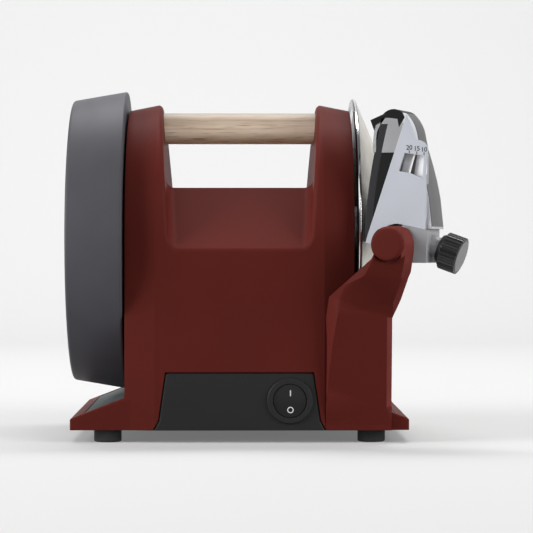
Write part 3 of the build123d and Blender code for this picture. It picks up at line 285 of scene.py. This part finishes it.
off_mark = ring_mark("switch_mark_off", (MARK_X, OFF_MARK_Z), circle_points(2.1), circle_points(1.55),
                     mark_white, rocker_face)
on_mark = ring_mark("switch_mark_on", (MARK_X, ON_MARK_Z), bar_points(0.75, 4), bar_points(0.05, 3.2),
                    mark_white, rocker_face)
for mark in (off_mark, on_mark):
    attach(mark, "switch")

INLET_X = 20
INLET_Z = SWITCH_Z
PIN_SPREAD = 7
PIN_STEP = 2
PIN_ROOT = 94
PIN_CORNERS = 24
PIN_SECTIONS = ((94, 1.02, 2.52), (82, 1.02, 2.52), (80.6, 0.98, 2.2))
PIN_PLACES = ((INLET_X, INLET_Z + PIN_STEP), (INLET_X - PIN_SPREAD, INLET_Z - PIN_STEP),
              (INLET_X + PIN_SPREAD, INLET_Z - PIN_STEP))
pin_metal = new_finish("pin_metal", (196, 190, 172), 0.28, metal=1.0)
vary_gloss(pin_metal, pattern(pin_metal, "ShaderNodeTexNoise", 900, (1, 0.1, 1)), 0.2, 0.4)
for number, (x, z) in enumerate(PIN_PLACES):
    points, faces = [], []
    for y, half_width, half_height in PIN_SECTIONS:
        for a, b in circle_points(1, PIN_CORNERS):
            corner = 1 / max(abs(a), abs(b)) ** 0.8
            points.append((x + a * corner * half_width, BODY_DEPTH / 2 - PIN_ROOT + y,
                           z + b * corner * half_height))
    for ring in range(len(PIN_SECTIONS) - 1):
        for i in range(PIN_CORNERS):
            here = ring * PIN_CORNERS + i
            beside = ring * PIN_CORNERS + (i + 1) % PIN_CORNERS
            faces.append((here, beside, beside + PIN_CORNERS, here + PIN_CORNERS))
    faces += [tuple(range(PIN_CORNERS)), tuple(range(2 * PIN_CORNERS, 3 * PIN_CORNERS))]
    pin = mesh_piece(f"inlet_pin_{number + 1}", points, faces, pin_metal)
    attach(pin, "housing_body")

# ---------------------------------------------------------------- carry handle
# A turned rod of pale oak between the fins, oiled and left unstained.
# The grain runs along the rod, with short dark pores and slow bands of early and late wood.
# Its top is painted darker as painted shade, and its underside lighter as painted light.
ROD_MIDDLE = 216 * MM


def along(finish, direction):
    """How far a point lies along a direction of the shared frame, in metres."""
    nodes, links = finish.node_tree.nodes, finish.node_tree.links
    place = nodes.new("ShaderNodeTexCoord")
    reach = nodes.new("ShaderNodeVectorMath")
    reach.operation = "DOT_PRODUCT"
    reach.inputs[1].default_value = direction
    links.new(place.outputs["Object"], reach.inputs[0])
    return reach.outputs["Value"]


wood = new_finish("oiled_oak", (226, 207, 188), 0.5)
wood_surface = wood.node_tree.nodes["Principled BSDF"]
wood_surface.inputs["Subsurface Weight"].default_value = 0.4
wood_surface.inputs["Subsurface Radius"].default_value = (1.0, 1.0, 1.0)
wood_surface.inputs["Subsurface Scale"].default_value = 0.016
mix_colour(wood, pattern(wood, "ShaderNodeTexNoise", 420, (0.025, 1, 1), 6), (184, 160, 132), 0.42, 0.66)
mix_colour(wood, pattern(wood, "ShaderNodeTexNoise", 90, (0.06, 1, 1), 2), (220, 203, 184), 0.48, 0.7)
pores = pattern(wood, "ShaderNodeTexNoise", 1500, (0.035, 1, 1), 2)
raise_grain(wood, pores, -0.00008)
vary_gloss(wood, pores, 0.44, 0.6)
# Painted shade and light: the rod is darker above its middle and lighter below it.
rod_height = along(wood, (0, 0, 1))
mix_colour(wood, rod_height, (146, 131, 117), ROD_MIDDLE, ROD_MIDDLE + 10 * MM)
mix_colour(wood, rod_height, (255, 240, 214), ROD_MIDDLE, ROD_MIDDLE - 10 * MM)
mix_colour(wood, pores, (146, 122, 98), 0.56, 0.74)
put_on(wood, "carry_handle")

# ---------------------------------------------------------------- honing wheel
# A dark composite wheel with a slightly tapered rim, turned smooth on its face.
# A washer and a nut hold it in the recess of its hub.
honing_composite = new_finish("honing_composite", (72, 71, 76), 0.5, shine=0.2)
raise_grain(honing_composite, pattern(honing_composite, "ShaderNodeTexNoise", 800), 0.00004)
mix_colour(honing_composite, pattern(honing_composite, "ShaderNodeTexNoise", 30), (68, 67, 72), 0.4, 0.75)
vary_gloss(honing_composite, pattern(honing_composite, "ShaderNodeTexNoise", 90, (1, 0.2, 0.2)), 0.44, 0.58)

AXIS_HEIGHT = 136
SHARP_TURN = radians(24)


def turned_piece(name, profile, finishes, steps=240):
    """Turns a closed profile of (x, radius, finish number) about the shaft's axis."""
    points, faces, numbers = [], [], []
    count = len(profile)
    for step in range(steps):
        angle = 2 * pi * step / steps
        for x, radius, _ in profile:
            points.append((x, radius * sin(angle), AXIS_HEIGHT + radius * cos(angle)))
    for step in range(steps):
        other = (step + 1) % steps
        for i in range(count):
            j = (i + 1) % count
            faces.append((step * count + i, step * count + j, other * count + j, other * count + i))
            numbers.append(profile[i][2])
    mesh = bpy.data.meshes.new(name)
    mesh.from_pydata([Vector(p) * MM + REST_PLACE for p in points], [], faces)
    for finish in finishes:
        mesh.materials.append(finish)
    for face, number in zip(mesh.polygons, numbers):
        face.material_index = number
        face.use_smooth = True
    shape = bmesh.new()
    shape.from_mesh(mesh)
    bmesh.ops.recalc_face_normals(shape, faces=shape.faces)
    for edge in shape.edges:
        if len(edge.link_faces) == 2 and edge.calc_face_angle() > SHARP_TURN:
            edge.smooth = False
    shape.to_mesh(mesh)
    shape.free()
    return set_up(name, mesh)


def rounded(corners, radius, steps=5):
    """Rounds the marked corners of a closed profile; each corner is (x, radius, finish, rounded)."""
    outline = []
    for i, (x, r, number, is_round) in enumerate(corners):
        if not is_round:
            outline.append((x, r, number))
            continue
        here = Vector((x, r))
        before = Vector(corners[i - 1][:2]) - here
        after = Vector(corners[(i + 1) % len(corners)][:2]) - here
        start = here + before.normalized() * radius
        end = here + after.normalized() * radius
        for step in range(steps + 1):
            t = step / steps
            point = start * (1 - t) ** 2 + here * 2 * t * (1 - t) + end * t**2
            outline.append((point.x, point.y, number if step == steps else corners[i][2]))
    return outline


BODY_SIDE = 77.2
SIDE_GAP = 1.6
SHAFT_RADIUS = 6
HONING_WIDTH = 38.2
HONING_ROUNDING = 2
HONING_RADIUS_IN = 105.4
HONING_RADIUS_OUT = 98.8
HONING_HUB_RADIUS = 13
HONING_HUB_RECESS = 12
honing_in = -BODY_SIDE - SIDE_GAP
honing_out = honing_in - HONING_WIDTH
honing_seat = honing_out + HONING_HUB_RECESS
honing_corners = (
    (honing_in, SHAFT_RADIUS, 0, False), (honing_in, HONING_RADIUS_IN, 0, True),
    (honing_out, HONING_RADIUS_OUT, 0, True), (honing_out, HONING_HUB_RADIUS, 0, True),
    (honing_seat, HONING_HUB_RADIUS, 0, False), (honing_seat, SHAFT_RADIUS, 0, False))
honing_outline = rounded(honing_corners, HONING_ROUNDING)
honing_wheel = turned_piece("turned_honing_wheel", honing_outline, [honing_composite])
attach(honing_wheel, "drive_shaft")
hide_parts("honing_wheel")

# ---------------------------------------------------------------- grinding wheel
# A pressed steel dish on a hub: a polished rim with a painted dark reflection and a painted shadow on its
# back edge, a conical face and a flat crown.
# The cone is coated with fine grit, and the crown is brushed and bare.
FACE_ANGLE = radians(22)
grit = new_finish("fine_grit", (222, 216, 206), 0.38, metal=0.85)
sparkle = pattern(grit, "ShaderNodeTexVoronoi", 2600)
raise_grain(grit, sparkle, 0.000008)
mix_colour(grit, sparkle, (232, 228, 220), 0.25, 0.6)
mix_colour(grit, pattern(grit, "ShaderNodeTexNoise", 24), (188, 181, 171), 0.45, 0.8)
polished = new_finish("polished_rim", (222, 223, 225), 0.12, metal=1.0)
vary_gloss(polished, pattern(polished, "ShaderNodeTexNoise", 220), 0.08, 0.2)
wheel_back = BODY_SIDE + SIDE_GAP
PAINTED_SHADOW_EDGE = (wheel_back + 1.1) * MM + REST_PLACE.x
PAINTED_REFLECTION_START = (wheel_back + 2.3) * MM + REST_PLACE.x
# Painted shadow: the rim's back edge and back face by the housing are near black. Painted reflection: from
# the rim's front edge on, and inside the dish, the steel is dark grey.
across_rim = along(polished, (1, 0, 0))
mix_colour(polished, across_rim, (22, 22, 24), PAINTED_SHADOW_EDGE, PAINTED_SHADOW_EDGE - 0.2 * MM)
mix_colour(polished, across_rim, (92, 90, 88), PAINTED_REFLECTION_START, PAINTED_REFLECTION_START + 0.2 * MM)
brushed_crown = new_finish("brushed_crown", (214, 210, 203), 0.26, metal=1.0)
vary_gloss(brushed_crown, pattern(brushed_crown, "ShaderNodeTexNoise", 160), 0.2, 0.36)

RIM_WIDTH = 3.1
WHEEL_RADIUS = 100.4
CONE_DROP = 26
CROWN_RISE = 4.8
CROWN_RADIUS = 45
CROWN_INNER = 30
DISH_WALL = 3
HUB_WIDTH = 10
BEND_STEPS = 12
GRITTY, POLISHED, BRUSHED = 0, 1, 2
rim_front = wheel_back + RIM_WIDTH
cone_radius = WHEEL_RADIUS - CONE_DROP
cone_top = rim_front + CONE_DROP * sin(FACE_ANGLE) / cos(FACE_ANGLE)
crown_top = cone_top + CROWN_RISE
hub_front = wheel_back + HUB_WIDTH
bend = [Vector((cone_top, cone_radius)), Vector((cone_top + 5.53, cone_radius - 13.7)),
        Vector((crown_top, CROWN_RADIUS))]
wheel_outline = [(rim_front, WHEEL_RADIUS - 1.5, GRITTY), (cone_top, cone_radius, BRUSHED)]
for step in range(1, BEND_STEPS):
    t = step / BEND_STEPS
    spot = bend[0] * (1 - t) ** 2 + bend[1] * 2 * t * (1 - t) + bend[2] * t**2
    wheel_outline.append((spot.x, spot.y, BRUSHED))
wheel_outline += [
    (crown_top, CROWN_RADIUS, BRUSHED), (crown_top, CROWN_INNER, BRUSHED),
    (hub_front + DISH_WALL, 26, BRUSHED), (hub_front + DISH_WALL, 5, POLISHED),
    (hub_front, 5, POLISHED), (hub_front, 28, POLISHED), (crown_top - DISH_WALL, 33, POLISHED),
    (crown_top - DISH_WALL, CROWN_RADIUS, POLISHED),
    (cone_top - DISH_WALL, cone_radius - 1, POLISHED), (wheel_back, WHEEL_RADIUS - 5, POLISHED),
    (wheel_back, WHEEL_RADIUS - 1.4, POLISHED), (wheel_back + 0.4, WHEEL_RADIUS - 0.4, POLISHED),
    (wheel_back + 1.4, WHEEL_RADIUS, POLISHED), (rim_front - 1.6, WHEEL_RADIUS, POLISHED),
    (rim_front - 0.6, WHEEL_RADIUS - 0.4, POLISHED),
]
grinding_wheel = turned_piece("turned_grinding_wheel", wheel_outline, [grit, polished, brushed_crown])
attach(grinding_wheel, "drive_shaft")
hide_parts("diamond_wheel")

# ---------------------------------------------------------------- arm and axle cap
# The red arm carries the guide's axle. Its front stands steep below a slanting crease and leans
# out above it, and a bevel runs up its edge and round the lobe, painted a lighter red as a painted highlight.
# A turned cap with a soft edge closes the end of the axle.
guide_origin = Vector((98, -121, 133))
outward = Vector((cos(FACE_ANGLE), -sin(FACE_ANGLE), 0))
along_blade = Vector((sin(FACE_ANGLE), cos(FACE_ANGLE), 0))

LOBE_MIDDLE = Vector((102.7, -121, 133)) * MM + REST_PLACE
LOBE_FLAT = 7.4 * MM
BEVEL_LEAN = radians(48)
arm_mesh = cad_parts["support_arm"].data.copy()
arm_shape = bmesh.new()
arm_shape.from_mesh(arm_mesh)
bmesh.ops.remove_doubles(arm_shape, verts=arm_shape.verts, dist=1e-6)


def cut_arm(place, facing, take_off=False):
    """Cuts the arm along a plane, and takes off what lies on the side that the plane faces."""
    everything = arm_shape.verts[:] + arm_shape.edges[:] + arm_shape.faces[:]
    bmesh.ops.bisect_plane(arm_shape, geom=everything, dist=1e-7, plane_co=place, plane_no=facing,
                           clear_outer=take_off)


for turn in range(-10, 91, 10):
    away = Vector((cos(radians(turn)), 0, sin(radians(turn))))
    cut_arm(LOBE_MIDDLE + away * LOBE_FLAT, away * sin(BEVEL_LEAN) - Vector((0, cos(BEVEL_LEAN), 0)), True)
    rim = [edge for edge in arm_shape.edges if edge.is_boundary]
    bmesh.ops.holes_fill(arm_shape, edges=rim, sides=0)

FOOT_HEIGHT = 12.3 * MM
NECK_HEIGHT = 120 * MM
KNEE = Vector((57.8, -110, 98)) * MM + REST_PLACE
CREASE_SLOPE = 0.289
NECK_LEAN = 0.34
FOOT_FRONT = -84.8 * MM
LOBE_FRONT = -110 * MM
FRONT_LEAN = 0.2545
BACK_FACE = -78 * MM
BACK_FOOT = 60 * MM
BACK_LEAN = 0.287
cut_arm(KNEE, (CREASE_SLOPE, 0, 1))
cut_arm((0, 0, NECK_HEIGHT), (0, 0, 1))
cut_arm((0, 0, FOOT_HEIGHT), (0, 0, 1))
bmesh.ops.triangulate(arm_shape, faces=arm_shape.faces)
for point in arm_shape.verts:
    height = point.co.z
    if not FOOT_HEIGHT < height < NECK_HEIGHT:
        continue
    crease = KNEE.z - CREASE_SLOPE * (point.co.x - KNEE.x)
    hollow = NECK_LEAN * (NECK_HEIGHT - max(height, crease))
    if height < crease:
        hollow *= (height - FOOT_HEIGHT) / (crease - FOOT_HEIGHT)
    back = BACK_FACE - max(height - BACK_FOOT, 0) * BACK_LEAN
    front = max(FOOT_FRONT - (height - FOOT_HEIGHT) * FRONT_LEAN, LOBE_FRONT)
    point.co.y += hollow * min(max((back - point.co.y) / (back - front), 0), 1)
bmesh.ops.recalc_face_normals(arm_shape, faces=arm_shape.faces)
arm_shape.to_mesh(arm_mesh)
arm_shape.free()

BEVEL_FOOT = 14 * MM
SOFT_TURN = radians(20)
# Painted highlight: a lighter red, mottled by noise, on the arm's faces that turn right or up towards the
# lamps, above the bevel's foot.
painted_highlight_enamel = enamel.copy()
painted_highlight_enamel.name = "painted_highlight_enamel"
mix_colour(painted_highlight_enamel, pattern(painted_highlight_enamel, "ShaderNodeTexNoise", 30), (110, 52, 48), 0.1, 0.6)
arm_mesh.materials.clear()
arm_mesh.materials.append(enamel)
arm_mesh.materials.append(painted_highlight_enamel)
for face in arm_mesh.polygons:
    face.use_smooth = True
    faces_the_light = face.normal.x + max(face.normal.z, 0) > 0.3 and face.normal.y < -0.3
    if faces_the_light and face.center.z > BEVEL_FOOT:
        face.material_index = 1
arm_mesh.set_sharp_from_angle(angle=SOFT_TURN)
bevelled_arm = set_up("bevelled_arm", arm_mesh)
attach(bevelled_arm, "housing_body")
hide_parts("support_arm")

CAP_RADIUS = 10.8
CAP_PROUD = 4.6
CAP_ROUNDING = 1.6
CAP_STEPS = 96
cap_line = [(CAP_RADIUS - 0.6, -0.2), (CAP_RADIUS, 0.4)]
for step in range(7):
    a = pi * step / 12
    cap_line.append((CAP_RADIUS - CAP_ROUNDING + CAP_ROUNDING * cos(a),
                     CAP_PROUD - CAP_ROUNDING + CAP_ROUNDING * sin(a)))
cap_line += [(CAP_RADIUS - 3, CAP_PROUD + 0.05), (0.01, CAP_PROUD + 0.15)]
cap_points, cap_faces = [], []
for a, b in circle_points(1, CAP_STEPS):
    for radius, lift in cap_line:
        cap_points.append(tuple(guide_origin + outward * (a * radius) - along_blade * lift
                                + Vector((0, 0, b * radius))))
rows = len(cap_line)
for i in range(CAP_STEPS):
    here, beside = i * rows, (i + 1) % CAP_STEPS * rows
    for k in range(rows - 1):
        cap_faces.append((here + k, here + k + 1, beside + k + 1, beside + k))
cap_faces.append(tuple(i * rows for i in range(CAP_STEPS)))
turned_cap = mesh_piece("turned_axle_cap", cap_points, cap_faces, enamel, smooth=True)
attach(turned_cap, "housing_body")
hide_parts("axle_cap")

# ---------------------------------------------------------------- knife guide
# A grey casting turns on the arm's axle. A printed plate with a window covers its front,
# a bowed black rest takes the blade, and a bow and a dark cap finish its back and top.
plate_grey = new_finish("scale_plate_grey", (180, 183, 191), 0.42)
soften_edges(plate_grey, 0.0004)
raise_grain(plate_grey, pattern(plate_grey, "ShaderNodeTexNoise", 1200), 0.00002)
mix_colour(plate_grey, pattern(plate_grey, "ShaderNodeTexNoise", 35), (185, 188, 196), 0.4, 0.75)
put_on(plate_grey, "scale_plate")

casting_grey = new_finish("casting_grey", (156, 156, 158), 0.4, shine=0.35)
soften_edges(casting_grey, 0.0006)
raise_grain(casting_grey, pattern(casting_grey, "ShaderNodeTexNoise", 900), 0.00003)
mix_colour(casting_grey, pattern(casting_grey, "ShaderNodeTexNoise", 40), (146, 146, 149), 0.4, 0.75)
put_on(casting_grey, "guide_body")

bow_grey = new_finish("bow_grey", (196, 197, 202), 0.5, shine=0.25)
soften_edges(bow_grey, 0.0005)
raise_grain(bow_grey, pattern(bow_grey, "ShaderNodeTexNoise", 900), 0.00002)
GUIDE_START = 12.4
PLATE_THICKNESS = 2
BOW_SHOULDER = 197 * MM
BOW_FOOT = 145 * MM
bow_face = (guide_origin * MM + REST_PLACE).dot(along_blade) + (GUIDE_START + PLATE_THICKNESS) * MM


def math_step(finish, operation, first, second):
    """One sum on two values, each a number or another step."""
    step = finish.node_tree.nodes.new("ShaderNodeMath")
    step.operation = operation
    for socket, value in zip(step.inputs, (first, second)):
        if isinstance(value, (int, float)):
            socket.default_value = value
        else:
            finish.node_tree.links.new(value, socket)
    return step.outputs["Value"]


# Painted shade and highlight: the bow keeps its light grey only in a strip at the plate's face, widened above
# the shoulder as a painted highlight. Behind it lies a near-black band of painted shadow, then a grey of
# painted shade that lightens slowly further back. Below its foot the bow is a little darker.
bow_height = along(bow_grey, (0, 0, 1))
shoulder = math_step(bow_grey, "GREATER_THAN", bow_height, BOW_SHOULDER)
behind = math_step(bow_grey, "SUBTRACT", along(bow_grey, along_blade),
                   math_step(bow_grey, "MULTIPLY", shoulder, 8 * MM))
mix_colour(bow_grey, behind, (62, 62, 63), bow_face + 0.5 * MM, bow_face + 1.0 * MM)
mix_colour(bow_grey, behind, (100, 100, 101), bow_face + 2.4 * MM, bow_face + 2.8 * MM)
mix_colour(bow_grey, behind, (112, 112, 113), bow_face + 12 * MM, bow_face + 27 * MM)
mix_colour(bow_grey, bow_height, (186, 186, 188), BOW_FOOT, BOW_FOOT - 0.6 * MM)
put_on(bow_grey, "guide_bow")

pad_black = new_finish("pad_black", (20, 20, 21), 0.45, shine=0.14)
soften_edges(pad_black, 0.0005)
raise_grain(pad_black, pattern(pad_black, "ShaderNodeTexNoise", 1200), 0.00002)
vary_gloss(pad_black, pattern(pad_black, "ShaderNodeTexNoise", 50), 0.36, 0.5)
put_on(pad_black, "pad_backing", "top_cap")
pad_grey = pad_black.copy()
pad_grey.name = "pad_grey"
pad_grey.node_tree.nodes["Principled BSDF"].inputs["Base Color"].default_value = (*shade(46, 46, 48), 1)
put_on(pad_grey, "rest_pad")

spring_chrome = new_finish("spring_chrome", (232, 233, 236), 0.22, metal=0.8)
vary_gloss(spring_chrome, pattern(spring_chrome, "ShaderNodeTexNoise", 300), 0.16, 0.3)
put_on(spring_chrome, "blade_spring")

pointer_finish = new_finish("pointer_black", (30, 30, 32), 0.4)
raise_grain(pointer_finish, pattern(pointer_finish, "ShaderNodeTexNoise", 900), 0.00001)
put_on(pointer_finish, "angle_pointer")

window_white = new_finish("window_white", (232, 232, 234), 0.5)
raise_grain(window_white, pattern(window_white, "ShaderNodeTexNoise", 900), 0.00001)
WINDOW_DEPTH = 4.7
SCALE_THICKNESS = 0.5
window_line = ((3.2, 46.5), (20.8, 42.2), (21.2, 60.5), (6.2, 62.5))


def plate_face(u, w, lift):
    """A point on the front of the scale plate: u away from the wheel, w above the axle."""
    return tuple(guide_origin + outward * u + along_blade * (GUIDE_START - lift) + Vector((0, 0, w)))


window_points = []
for depth in (WINDOW_DEPTH, WINDOW_DEPTH + SCALE_THICKNESS):
    window_points += [plate_face(u, w, -depth) for u, w in window_line]
window_faces = [(0, 1, 2, 3), (4, 7, 6, 5), (0, 4, 5, 1), (1, 5, 6, 2), (2, 6, 7, 3), (3, 7, 4, 0)]
window_scale = mesh_piece("window_scale", window_points, window_faces, window_white)
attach(window_scale, "knife_guide")

POINTER_LEAN = radians(12.8)
POINTER_BACK = 2.55
POINTER_FRONT = 2.4
edge_line = ((40, -2.3), (62, -0.75), (62, 0.2), (40, -0.9))
edge_points = []
for depth in (POINTER_BACK, POINTER_FRONT):
    for reach, offset in edge_line:
        u = reach * sin(POINTER_LEAN) + offset * cos(POINTER_LEAN)
        w = reach * cos(POINTER_LEAN) - offset * sin(POINTER_LEAN)
        edge_points.append(plate_face(u, w, -depth))
pointer_edge = mesh_piece("pointer_edge", edge_points, window_faces, mark_white)
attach(pointer_edge, "housing_body")

scale_ink = new_finish("scale_ink", (24, 24, 26), 0.55)
raise_grain(scale_ink, pattern(scale_ink, "ShaderNodeTexNoise", 2500), 0.00001)
SCALE_HEIGHT = 62.4
SCALE_DROP = 0.14
NUMBER_SIZE = 4.3 * MM
upright_print = Matrix((outward, Vector((0, 0, 1)), -along_blade)).transposed().to_4x4()
for number, (value, u) in enumerate((("20", 10.2), ("15", 15.4), ("10", 20.4))):
    w = SCALE_HEIGHT - SCALE_DROP * (u - 10)
    tick = ring_mark(f"scale_tick_{number + 1}", (u, w - 1.1), bar_points(0.6, 1.9), bar_points(0.04, 1.3),
                     scale_ink, plate_face, 0.05)
    words = bpy.data.curves.new(f"scale_number_{value}", "FONT")
    words.body = value
    words.size = NUMBER_SIZE
    words.offset = 0.07 * MM
    words.extrude = 0.03 * MM
    words.align_x = "CENTER"
    draft = set_up(f"scale_number_{value}", words)
    bpy.context.view_layer.update()
    flat = bpy.data.meshes.new_from_object(draft)
    bpy.data.objects.remove(draft)
    spot = Vector(plate_face(u, w + 0.2, 0.02)) * MM + REST_PLACE
    flat.transform(Matrix.Translation(spot) @ upright_print)
    flat.materials.clear()
    flat.materials.append(scale_ink)
    printed = set_up(f"scale_number_{value}", flat)
    for piece in (tick, printed):
        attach(piece, "knife_guide")

# ---------------------------------------------------------------- clamp knob
# A ribbed knob of black moulded plastic on the clamp screw, turned by hand to free the guide.
# A smooth grey disc is let into its face.
knob_black = new_finish("knob_black", (18, 18, 19), 0.34, shine=0.55)
raise_grain(knob_black, pattern(knob_black, "ShaderNodeTexNoise", 1300), 0.00003)
put_on(knob_black, "lock_knob")
knob_grey = new_finish("knob_grey", (98, 98, 100), 0.3)
raise_grain(knob_grey, pattern(knob_grey, "ShaderNodeTexNoise", 700), 0.00001)
vary_gloss(knob_grey, pattern(knob_grey, "ShaderNodeTexNoise", 60), 0.28, 0.42)
put_on(knob_grey, "knob_cap")

# ---------------------------------------------------------------- floor, light and camera
# A pale sweep of paper runs under the machine and up behind it. Four large soft boxes stand
# round and above the machine, and a fifth lights the paper behind it.
SWEEP_HALF_WIDTH = 4.5
SWEEP_FRONT = -4.0
BEND_START = 1.4
BEND_RADIUS = 1.0
SWEEP_TOP = 5.0
sweep_line = [(SWEEP_FRONT, 0.0), (BEND_START, 0.0)]
for step in range(1, 17):
    a = pi / 2 * step / 16
    sweep_line.append((BEND_START + BEND_RADIUS * sin(a), BEND_RADIUS - BEND_RADIUS * cos(a)))
sweep_line.append((BEND_START + BEND_RADIUS, SWEEP_TOP))
sweep_points, sweep_faces = [], []
for y, z in sweep_line:
    sweep_points += [(-SWEEP_HALF_WIDTH, y, z), (SWEEP_HALF_WIDTH, y, z)]
for i in range(len(sweep_line) - 1):
    sweep_faces.append((2 * i, 2 * i + 1, 2 * i + 3, 2 * i + 2))
sweep_mesh = bpy.data.meshes.new("paper_sweep")
sweep_mesh.from_pydata(sweep_points, [], sweep_faces)
for face in sweep_mesh.polygons:
    face.use_smooth = True
sweep = set_up("paper_sweep", sweep_mesh)


def either(finish, share, first, second):
    """The first colour where share is 0 and the second where it is 1."""
    choice = finish.node_tree.nodes.new("ShaderNodeMix")
    choice.data_type = "RGBA"
    choice.inputs["A"].default_value = (*first, 1)
    choice.inputs["B"].default_value = (*second, 1)
    finish.node_tree.links.new(share, choice.inputs["Factor"])
    return choice.outputs["Result"]


PAPER_GLOW = 0.15
paper = new_finish("pale_paper", (238, 238, 239), 0.9, shine=0.0)
ray = paper.node_tree.nodes.new("ShaderNodeLightPath").outputs
seen = math_step(paper, "MAXIMUM", ray["Is Camera Ray"], ray["Is Glossy Ray"])
seen = math_step(paper, "MAXIMUM", seen, ray["Is Transmission Ray"])
paper_surface = paper.node_tree.nodes["Principled BSDF"].inputs
paper.node_tree.links.new(either(paper, seen, shade(140, 140, 141), shade(183, 183, 183)),
                          paper_surface["Base Color"])
paper.node_tree.links.new(either(paper, seen, (0, 0, 0), (PAPER_GLOW, PAPER_GLOW, PAPER_GLOW)),
                          paper_surface["Emission Color"])
paper_surface["Emission Strength"].default_value = 1.0
sweep_mesh.materials.append(paper)


def soft_box(name, place, aim, size, power):
    """A rectangular lamp in metres and watts, turned towards its aim."""
    lamp = bpy.data.lights.new(name, "AREA")
    lamp.shape = "RECTANGLE"
    lamp.size, lamp.size_y = size
    lamp.energy = power
    box = set_up(name, lamp)
    box.location = place
    box.rotation_euler = (Vector(aim) - Vector(place)).to_track_quat("-Z", "Y").to_euler()


soft_box("left_box", (-2.3, -0.75, 0.9), (0, 0, 0.12), (1.4, 1.8), 76)
soft_box("right_box", (2.1, -1.1, 0.95), (0, 0, 0.12), (1.5, 1.8), 52)
soft_box("top_box", (0, 0.9, 2.2), (0, 0, 0.1), (1.6, 0.8), 34)
soft_box("front_box", (-0.4, -2.2, 1.8), (0, 0, 0.12), (1.8, 1.2), 12)
soft_box("backdrop_box", (0, 0.9, 2.4), (0, 2.4, 0.6), (3.0, 0.6), 38)

world = bpy.data.worlds.new("studio")
world.use_nodes = True
world.node_tree.nodes["Background"].inputs["Color"].default_value = (1, 1, 1, 1)
world.node_tree.nodes["Background"].inputs["Strength"].default_value = 0.15
bpy.context.scene.world = world

camera_data = bpy.data.cameras.new("camera")
camera_data.lens = 147.45
camera = set_up("camera", camera_data)
camera.location = (-0.0177, -1.544, 0.132)
camera.rotation_euler = (radians(90 - 0.54), 0, radians(-0.706))
bpy.context.scene.camera = camera
bpy.context.scene.view_settings.view_transform = "Standard"
